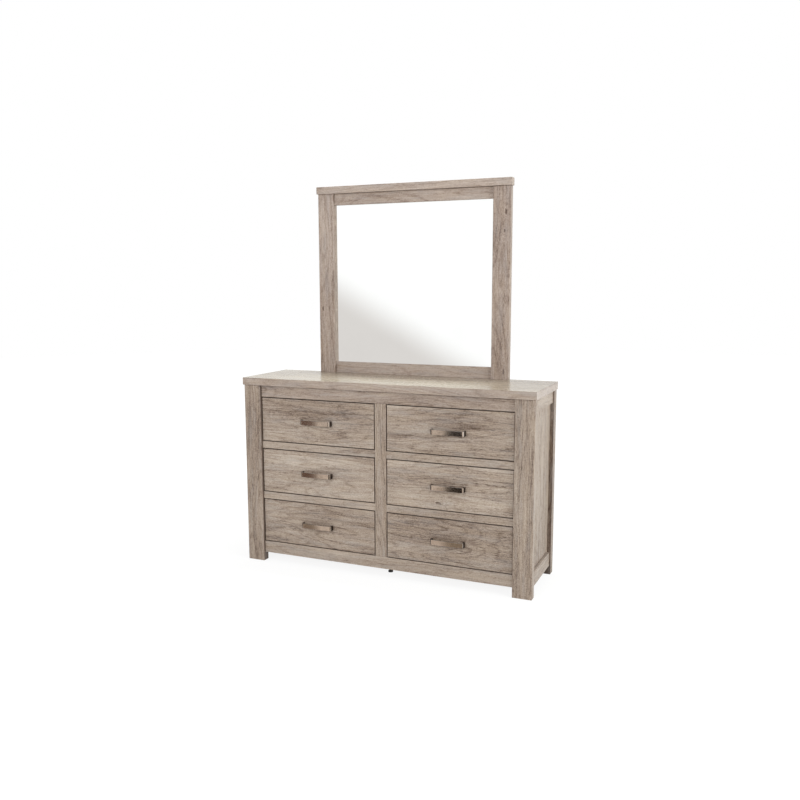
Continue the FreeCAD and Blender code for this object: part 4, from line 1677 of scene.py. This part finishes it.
@dataclass
class BackFixings(SubAssembly):
    """What holds the back: pins in the back panel, clips on the mirror's board, support screws.

    Attributes:
        pin_pitch: Distance of the pins up the back panel.
        pin_column: Distance of each column of pins from the middle.
        rail: Height of the back rails.
        middle_rail: Lower and upper edge of the middle back rail.
        rail_gap: Room that the pins leave over and under a rail.
        clip_thick: Thickness of the clips' steel.
        clip_width: Width of a clip.
        clip_gap: Distance of the clips from the board's edge.
        clip_columns: Where the clips over and under the board are.
        clip_level: Height of the clips beside the board.
        support_levels: Heights of the two middle rows of support screws.
    """

    pin_pitch: float = 72 * MM
    pin_column: float = 3.5 * MM
    rail: float = 60 * MM
    middle_rail: tuple[float, float] = (613 * MM, 673 * MM)
    rail_gap: float = 4 * MM
    clip_thick: float = 0.8 * MM
    clip_width: float = 14 * MM
    clip_gap: float = 1 * MM
    clip_columns: Triple = (-0.30, 0.0, 0.30)
    clip_level: float = 1.66
    support_levels: tuple[float, float] = (883 * MM, 1040 * MM)

    def build_pins(self) -> None:
        """Make the pins that hold the back panel to the partition, in two columns."""
        low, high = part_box("back_panel")
        rails_low, rails_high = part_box("back_rails")
        spans = ((rails_low.z, rails_low.z + self.rail), self.middle_rail,
                 (rails_high.z - self.rail, rails_high.z))
        thick = 0.5 * MM
        form = bmesh.new()
        for number in range(int((high.z - low.z) / self.pin_pitch)):
            level = low.z + (number + 0.5) * self.pin_pitch
            if any(start - self.rail_gap < level < end + self.rail_gap for start, end in spans):
                continue
            for x in (-self.pin_column, self.pin_column):
                stand = facing(Vector((x, high.y, level)), BACKWARDS)
                pin = bmesh.new()
                bmesh.ops.create_cone(pin, cap_ends=True, segments=12, radius1=1.9 * MM,
                                      radius2=1.3 * MM, depth=thick,
                                      matrix=stand @ Matrix.Translation((0, 0, thick / 2)))
                join(form, pin)
        mount("back_pins", form, self.finishes.zinc, "case")

    def build_clips(self) -> None:
        """Make the offset clips that hold the mirror's board in its frame."""
        low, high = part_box("mirror_backboard")
        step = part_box("mirror_stiles")[1].y - high.y
        out, seat_in = 1.2 * MM, 9 * MM
        strip = Folded(((-11 * MM, 0.0), (-out, 0.0), (out, step), (15 * MM, step)),
                       self.clip_thick, 0.6 * MM)
        head = ScrewHead(radius=3.4 * MM, height=0.5 * MM, dome=0.9 * MM)
        edges = [(Vector((x, high.y, edge + way * self.clip_gap)), Vector((0, 0, way)))
                 for edge, way in ((high.z, 1), (low.z, -1)) for x in self.clip_columns]
        edges += [(Vector((way * (high.x + self.clip_gap), high.y, self.clip_level)),
                   Vector((way, 0, 0))) for way in (-1, 1)]
        form = bmesh.new()
        screws = bmesh.new()
        for edge, way in edges:
            turn = Matrix((way, BACKWARDS.cross(way), BACKWARDS)).transposed().to_4x4()
            strip.add(form, self.clip_width, Matrix.Translation(edge) @ turn
                      @ Matrix.Translation((0, -self.clip_width / 2, 0)))
            seat = edge + way * seat_in + BACKWARDS * (step + self.clip_thick)
            head.add(screws, facing(seat, BACKWARDS, 40 * (edge.x + edge.z)))
        mount("mirror_clips", form, self.finishes.zinc, "case")
        mount("mirror_clip_screws", screws, self.finishes.zinc, "case")

    def build_support_screws(self) -> None:
        """Make the countersunk screws of the mirror's supports."""
        low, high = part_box("support_screws")
        radius, rim = 4.4 * MM, 0.02 * MM
        head = ScrewHead(radius=radius, height=rim, dome=-0.15 * MM, cross=0.5,
                         depth=1.6 * MM, sink=2.2 * MM, shank=2.2 * MM, length=30 * MM)
        form = bmesh.new()
        for number, level in enumerate((low.z + radius, *self.support_levels, high.z - radius)):
            for sign in (-1, 1):
                seat = Vector((sign * (high.x - radius), high.y - rim, level))
                head.add(form, facing(seat, BACKWARDS, 17 + 23 * number + 8 * sign))
        mount("mirror_support_screws", form, self.finishes.zinc, "case",
              ["support_screws"])

    def build(self) -> None:
        """Make everything that holds the back."""
        self.build_pins()
        self.build_clips()
        self.build_support_screws()


@dataclass
class MirrorFrame(SubAssembly):
    """The mirror: its frame, glass, backboard and the two supports."""

    def dress(self) -> None:
        """Print the frame and finish the rest."""
        for board in self.prints():
            paint(board.name, board.material())
        paint("mirror_glass", Silvering().material())
        paint("mirror_backboard", self.finishes.hardboard)
        paint("mirror_supports", self.finishes.carcass)

    def prints(self) -> tuple[WashedOak, ...]:
        """Choose each board's cut, tone, knots and shades.

        Returns:
            The printed boards, each named as its node.
        """
        knots = (Knot((0.495, 0.1725, 1.755), 0.006), Knot((0.490, 0.1725, 1.666), 0.004),
                 Knot((0.492, 0.1725, 0.990), 0.005), Knot((-0.498, 0.1725, 1.288), 0.005))
        # Painted shadow under the cap's overhang, on the stiles and the rails.
        shadow_under_cap = Shade((0.0, 0.17, 1.879), (2.0, 0.10, 0.005), -0.22)
        patch, seam = (0.08, 0.10, 0.30), (0.005, 0.02, 0.026)
        # Two stile shades are painted light: the right stile's outer side is paler where the side
        # light falls, and the left stile's inner face beside the glass is lightened out of its
        # shade.
        stiles = (Shade((-0.474, 0.17, 1.64), patch, 0.06),
                  Shade((0.474, 0.17, 1.64), patch, -0.09),
                  Shade((0.474, 0.17, 1.18), patch, -0.05),
                  Shade((0.520, 0.19, 1.42), (0.007, 0.10, 1.2), 0.08), shadow_under_cap,
                  Shade((-0.430, 0.18, 1.854), seam, -0.30),
                  Shade((-0.430, 0.18, 0.974), seam, -0.30),
                  Shade((-0.430, 0.18, 1.414), (0.003, 0.04, 0.60), 0.12))
        rails = (Shade((0.0, 0.18, 0.98), (0.50, 0.10, 0.06), 0.08), shadow_under_cap,
                 Shade((0.431, 0.18, 1.42), (0.004, 0.10, 2.0), -0.25))
        return (
            WashedOak("mirror_stiles", Grain.UPRIGHT, 10, tone=0.01, dye=(1.0, 0.985, 1.015),
                      knots=knots, shades=stiles),
            WashedOak("mirror_rails", Grain.ACROSS, 11, tone=0.03, contrast=0.8,
                      dye=(1.0, 0.99, 1.02), shades=rails),
            WashedOak("mirror_cap", Grain.ACROSS, 12, tone=0.13, contrast=0.85,
                      dye=(1.0, 0.99, 1.02)),
        )


@dataclass
class LevellingFoot(SubAssembly):
    """A levelling foot: a ribbed plastic pad with a hexagon collar on a threaded stem.

    Attributes:
        end: Which end of the case it is under.
        rim: Height of the pad's rim.
        pad: Height of the pad.
        collar: Radius of the hexagon collar.
        stem: Radius of the stem.
        thread: Pitch of the thread.
        bite: Depth of the thread.
        ribs: Ribs round the pad.
        rib: How far a rib stands out.
    """

    end: str
    rim: float = 7 * MM
    pad: float = 14 * MM
    collar: float = 7.5 * MM
    stem: float = 4 * MM
    thread: float = 1.5 * MM
    bite: float = 0.6 * MM
    ribs: int = 24
    rib: float = 1.2 * MM

    def build_pad(self, body: str, foot: Vector, radius: float) -> None:
        """Make the pad with its ribs and its collar, which stands for the CAD foot.

        Args:
            body: The foot's body.
            foot: The middle of its underside.
            radius: Its radius over the ribs.
        """
        form = bmesh.new()
        made = bmesh.ops.create_circle(form, cap_ends=True, segments=2 * self.ribs,
                                       radius=radius - self.rib)
        base = made["verts"][0].link_faces[0]
        upper = new_faces(bmesh.ops.extrude_face_region(form, geom=[base]))[0]
        bmesh.ops.translate(form, verts=upper.verts, vec=(0, 0, self.rim))
        walls = [f for f in form.faces if abs(f.normal.z) < 0.5 and f not in (base, upper)]
        walls.sort(key=lambda f: math.atan2(f.calc_center_median().y, f.calc_center_median().x))
        bmesh.ops.inset_individual(form, faces=walls[::2], thickness=0.15 * MM, depth=self.rib,
                                   use_even_offset=True)
        bmesh.ops.inset_region(form, faces=[base], thickness=1.5 * MM, depth=0.0)
        bmesh.ops.inset_region(form, faces=[upper], thickness=2.5 * MM, depth=1.6 * MM)
        bmesh.ops.translate(form, verts=form.verts, vec=foot)
        collar = bmesh.new()
        seat = Matrix.Translation(foot + Vector((0, 0, (self.rim + self.pad) / 2)))
        bmesh.ops.create_cone(collar, cap_ends=True, segments=6, radius1=self.collar,
                              radius2=self.collar, depth=self.pad - self.rim, matrix=seat)
        ease_edges(collar, collar.edges, 0.5 * MM, 2)
        join(form, collar)
        mount("foot_pad_" + self.end, form, self.finishes.plastic, body, [body])

    def build_stem(self, body: str, foot: Vector, height: float) -> None:
        """Make the stem with its thread.

        Args:
            body: The foot's body.
            foot: The middle of its underside.
            height: The whole foot's height.
        """
        root, tip, sunk, plain = self.stem - self.bite, 1.5 * MM, 1 * MM, 3 * MM
        outline = [(0.0, self.pad - sunk), (root, self.pad - sunk)]
        for number in range(int((height - self.pad - plain) / self.thread)):
            rise = self.pad + number * self.thread
            outline += [(root, rise), (self.stem, rise + self.thread / 2)]
        outline += [(root, height - tip), (self.stem - tip, height), (0.0, height)]
        mount("foot_stem_" + self.end, turned(outline, foot, 16), self.finishes.zinc, body)

    def build(self) -> None:
        """Make the pad and the stem."""
        body = "centre_foot_" + self.end
        low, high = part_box(body)
        radius = (high.x - low.x) / 2
        foot = Vector((low.x + radius, low.y + radius, low.z))
        self.build_pad(body, foot, radius)
        self.build_stem(body, foot, high.z - low.z)


# ---------------------------------------------------------------- studio

@dataclass
class Lamp:
    """One soft rectangular lamp.

    Attributes:
        name: The lamp's name.
        stand: Where it stands.
        aim: The point that it looks at.
        size: Its width and height.
        power: Its power in watts.
        tint: Its colour.
    """

    name: str
    stand: Triple
    aim: Triple
    size: tuple[float, float]
    power: float
    tint: Triple = UNTINTED

    def build(self) -> None:
        """Make the lamp, unseen in gloss, which shows the surround and the cards instead."""
        light = bpy.data.lights.new(self.name, "AREA")
        light.shape = "RECTANGLE"
        light.size, light.size_y = self.size
        light.energy = self.power
        light.color = self.tint
        lamp = bpy.data.objects.new(self.name, light)
        lamp.location = self.stand
        lamp.rotation_mode = "QUATERNION"
        way = Vector(self.aim) - Vector(self.stand)
        lamp.rotation_quaternion = way.to_track_quat("-Z", "Y")
        lamp.visible_glossy = False
        bpy.context.scene.collection.objects.link(lamp)


@dataclass
class Studio:
    """Pale floor, white surround, soft lamps, two glowing cards that gloss shows as painted
    reflections, and the camera.

    Attributes:
        floor_radius: Radius of the round floor.
        dome: Strength of the surround's light on the object.
        stand: Where the camera stands.
        yaw: Its turn to the left, in degrees.
        pitch: Its tilt down, in degrees.
        roll: Its lean, in degrees.
        lens: Its focal length, in millimetres.
    """

    floor_radius: float = 14.0
    dome: float = 0.50
    stand: Triple = (1.60365, -3.70217, 1.41572)
    yaw: float = 23.19
    pitch: float = 8.03
    roll: float = -0.13
    lens: float = 37.03

    @staticmethod
    def seen(wires: Wires) -> Socket:
        """Tell what is seen from light that falls on things.

        Args:
            wires: The wires of the material or the surround.

        Returns:
            1 for what the camera, gloss and glass see, and otherwise 0.
        """
        path = wires.node("LightPath", {}).outputs
        gloss = wires.larger(path["Is Glossy Ray"], path["Is Transmission Ray"])
        return wires.larger(gloss, path["Is Camera Ray"])

    def build_floor(self) -> None:
        """Lay the pale floor, which shows white with a soft shadow."""
        form = bmesh.new()
        bmesh.ops.create_circle(form, cap_ends=True, segments=96, radius=self.floor_radius)
        floor = rounded_mesh("studio_floor", form)
        material, wires = bare_material("studio floor")
        away = wires.length(wires.place())
        plain = wires.node("BsdfDiffuse", {"Color": srgb(226, 225, 223)})
        shown = wires.node("BsdfDiffuse", {"Color": srgb(108, 108, 108)})
        lift = wires.node("Emission", {"Color": WHITE,
                                       "Strength": wires.spread(away, 1.0, 2.6, 0.88, 1.0)})
        white = wires.node("AddShader", {0: shown.outputs[0], 1: lift.outputs[0]})
        either = wires.node("MixShader", {0: self.seen(wires), 1: plain.outputs[0],
                                          2: white.outputs[0]})
        wires.node("OutputMaterial", {"Surface": either.outputs[0]})
        floor.data.materials.append(material)

    def build_surround(self) -> None:
        """Make the white surround, dimmer as a light than it is seen."""
        world = bpy.data.worlds.new("studio surround")
        world.use_nodes = True
        world.node_tree.nodes.clear()
        wires = Wires(world.node_tree)
        strength = wires.spread(self.seen(wires), 0.0, 1.0, self.dome, 1.0)
        shade = wires.node("Background", {"Color": WHITE, "Strength": strength})
        wires.node("OutputWorld", {"Surface": shade.outputs[0]})
        bpy.context.scene.world = world

    @staticmethod
    def hang(name: str, size: float, stand: Matrix) -> Wires:
        """Put up a square card that only gloss sees.

        Args:
            name: The card's name.
            size: Half the length of its sides.
            stand: Where it goes, as a 4x4 matrix.

        Returns:
            The wires of its material, which is empty.
        """
        form = bmesh.new()
        bmesh.ops.create_grid(form, x_segments=2, y_segments=2, size=size, matrix=stand)
        card = rounded_mesh(name, form)
        material, wires = bare_material(name.replace("_", " "))
        card.data.materials.append(material)
        card.visible_camera = False
        card.visible_diffuse = False
        card.visible_transmission = False
        card.visible_volume_scatter = False
        card.visible_shadow = False
        return wires

    @staticmethod
    def light_card(wires: Wires, colour: Value, strength: float, for_glass: bool) -> None:
        """Make a card glow as a painted reflection, either for the clear mirror or for all softer
        gloss.

        Args:
            wires: The wires of its material.
            colour: Its colour.
            strength: Its strength.
            for_glass: Whether only the mirror sees it.
        """
        glow = wires.node("Emission", {"Color": colour, "Strength": strength}).outputs[0]
        clear = wires.node("BsdfTransparent", {}).outputs[0]
        in_glass = wires.node("LightPath", {}).outputs["Is Singular Ray"]
        soft, sharp = (clear, glow) if for_glass else (glow, clear)
        either = wires.node("MixShader", {0: in_glass, 1: soft, 2: sharp})
        wires.node("OutputMaterial", {"Surface": either.outputs[0]})

    def build_mirror_card(self) -> None:
        """Hang the card that the glass shows: warm grey below a soft slanting edge, white above.

        It fades to white towards the floor and its far end too.
        """
        # The card is a painted reflection: it glows, and only the glass shows it.
        stand = Matrix.Translation((-2.65, -4.4, 2.62)) @ Matrix.Rotation(math.radians(90), 4, "X")
        wires = self.hang("mirror_card", 2.6, stand)
        across, _, up = wires.parts(wires.place())
        fall, edge_x, edge_z, soft = 0.55, -2.784, 1.355, 0.26
        over = wires.add(wires.times(wires.less(across, edge_x), fall), wires.less(up, edge_z))
        rims = wires.larger(wires.spread(up, 0.46, 0.04), wires.spread(across, -2.95, -4.90))
        white = wires.larger(wires.spread(over, -soft, soft), rims)
        colour = wires.blend(white, srgb(216, 212, 209), WHITE)
        self.light_card(wires, colour, 1.02, for_glass=True)

    def build_painted_reflection_card(self) -> None:
        """Lay the card that the pulls show, a painted reflection: pale, with a brown and a black
        stretch.

        Each stretch starts at a line that one column's pulls show upright: the brown one in the
        left pulls, with a gap where their bends look, and the black one in the right pulls. Both
        are deeper far off, where the upper pulls look.
        """
        wires = self.hang("painted_reflection_card", 4.5, Matrix.Translation((-0.6, -4.9, 0.001)))
        place = wires.place()
        across, ahead, _ = wires.parts(place)
        left = wires.less(across, wires.times(ahead, 0.53))
        right = wires.less(across, wires.times(ahead, 0.385))
        sweep = wires.math("DIVIDE", wires.add(across, 0.344), wires.add(ahead, 0.20))
        open_bend = wires.larger(wires.spread(sweep, 1.1, 0.9), wires.spread(sweep, 1.5, 1.7))
        left_edge, right_edge, soft = -0.23, 0.43, 0.07
        # Painted reflections for the pulls: the brown stretch for wood, the black stretch and the
        # spot round the post for dark surroundings.
        brown = wires.times(wires.spread(left, left_edge + soft, left_edge - soft), open_bend)
        black = wires.times(wires.spread(right, right_edge - soft, right_edge + soft),
                            wires.spread(right, 2.3, 1.9))
        far = wires.spread(ahead, -1.15, -1.55)
        clouds = wires.spread(wires.noise(place, 1.6), 0.35, 0.65)
        colour = wires.blend(clouds, srgb(206, 188, 174), srgb(242, 228, 214))
        brown_tone = wires.blend(far, srgb(146, 128, 112), srgb(108, 82, 69))
        black_tone = wires.blend(far, srgb(150, 133, 116), srgb(40, 31, 26))
        colour = wires.blend(brown, colour, brown_tone)
        colour = wires.blend(black, colour, black_tone)
        from_post = wires.length(wires.vector("SUBTRACT", place, (-1.85, -4.05, 0.0)))
        colour = wires.blend(wires.spread(from_post, 0.26, 0.12), colour, srgb(52, 44, 38))
        self.light_card(wires, colour, 1.0, for_glass=False)

    def build_lamps(self) -> None:
        """Stand the lamps at the front left, the right side and overhead."""
        lamps = (
            Lamp("front lamp", (-1.3, -4.8, 2.5), (0.0, 0.0, 0.9), (3.0, 1.8), 102.0),
            Lamp("side lamp", (3.2, -0.9, 1.9), (0.75, -0.1, 0.9), (1.6, 2.2), 68.0,
                 (0.96, 1.0, 0.97)),
            Lamp("overhead lamp", (0.0, 0.36, 3.6), (0.0, 0.25, 0.9), (1.8, 0.4), 70.0,
                 (0.93, 1.0, 0.93)),
        )
        for lamp in lamps:
            lamp.build()

    def build_camera(self) -> None:
        """Stand the camera where the dresser is seen from its right."""
        data = bpy.data.cameras.new("camera")
        data.lens = self.lens
        data.sensor_width = 36.0
        camera = bpy.data.objects.new("camera", data)
        aim = Euler((math.radians(90 - self.pitch), 0.0, math.radians(self.yaw)), "XYZ")
        lean = Matrix.Rotation(math.radians(self.roll), 4, "Z")
        camera.matrix_world = Matrix.Translation(self.stand) @ aim.to_matrix().to_4x4() @ lean
        bpy.context.scene.collection.objects.link(camera)
        bpy.context.scene.camera = camera

    def build(self) -> None:
        """Build the whole studio."""
        bpy.context.scene.view_settings.view_transform = "Standard"
        self.build_floor()
        self.build_surround()
        self.build_mirror_card()
        self.build_painted_reflection_card()
        self.build_lamps()
        self.build_camera()
        LOG.info("studio is up")


def main() -> None:
    """Build the finishes, the sub-assemblies and the studio, in order."""
    logging.basicConfig(level=logging.INFO)
    finishes = Finishes()
    Case(finishes).dress()
    Drawers(finishes).dress()
    for place in PLACES:
        Pull(finishes, place).build()
        BoxFixings(finishes, place).build()
    Slides(finishes).build()
    MirrorFrame(finishes).dress()
    BackFixings(finishes).build()
    for end in ("front", "rear"):
        LevellingFoot(finishes, end).build()
    Studio().build()


if __name__ == "__main__":
    main()
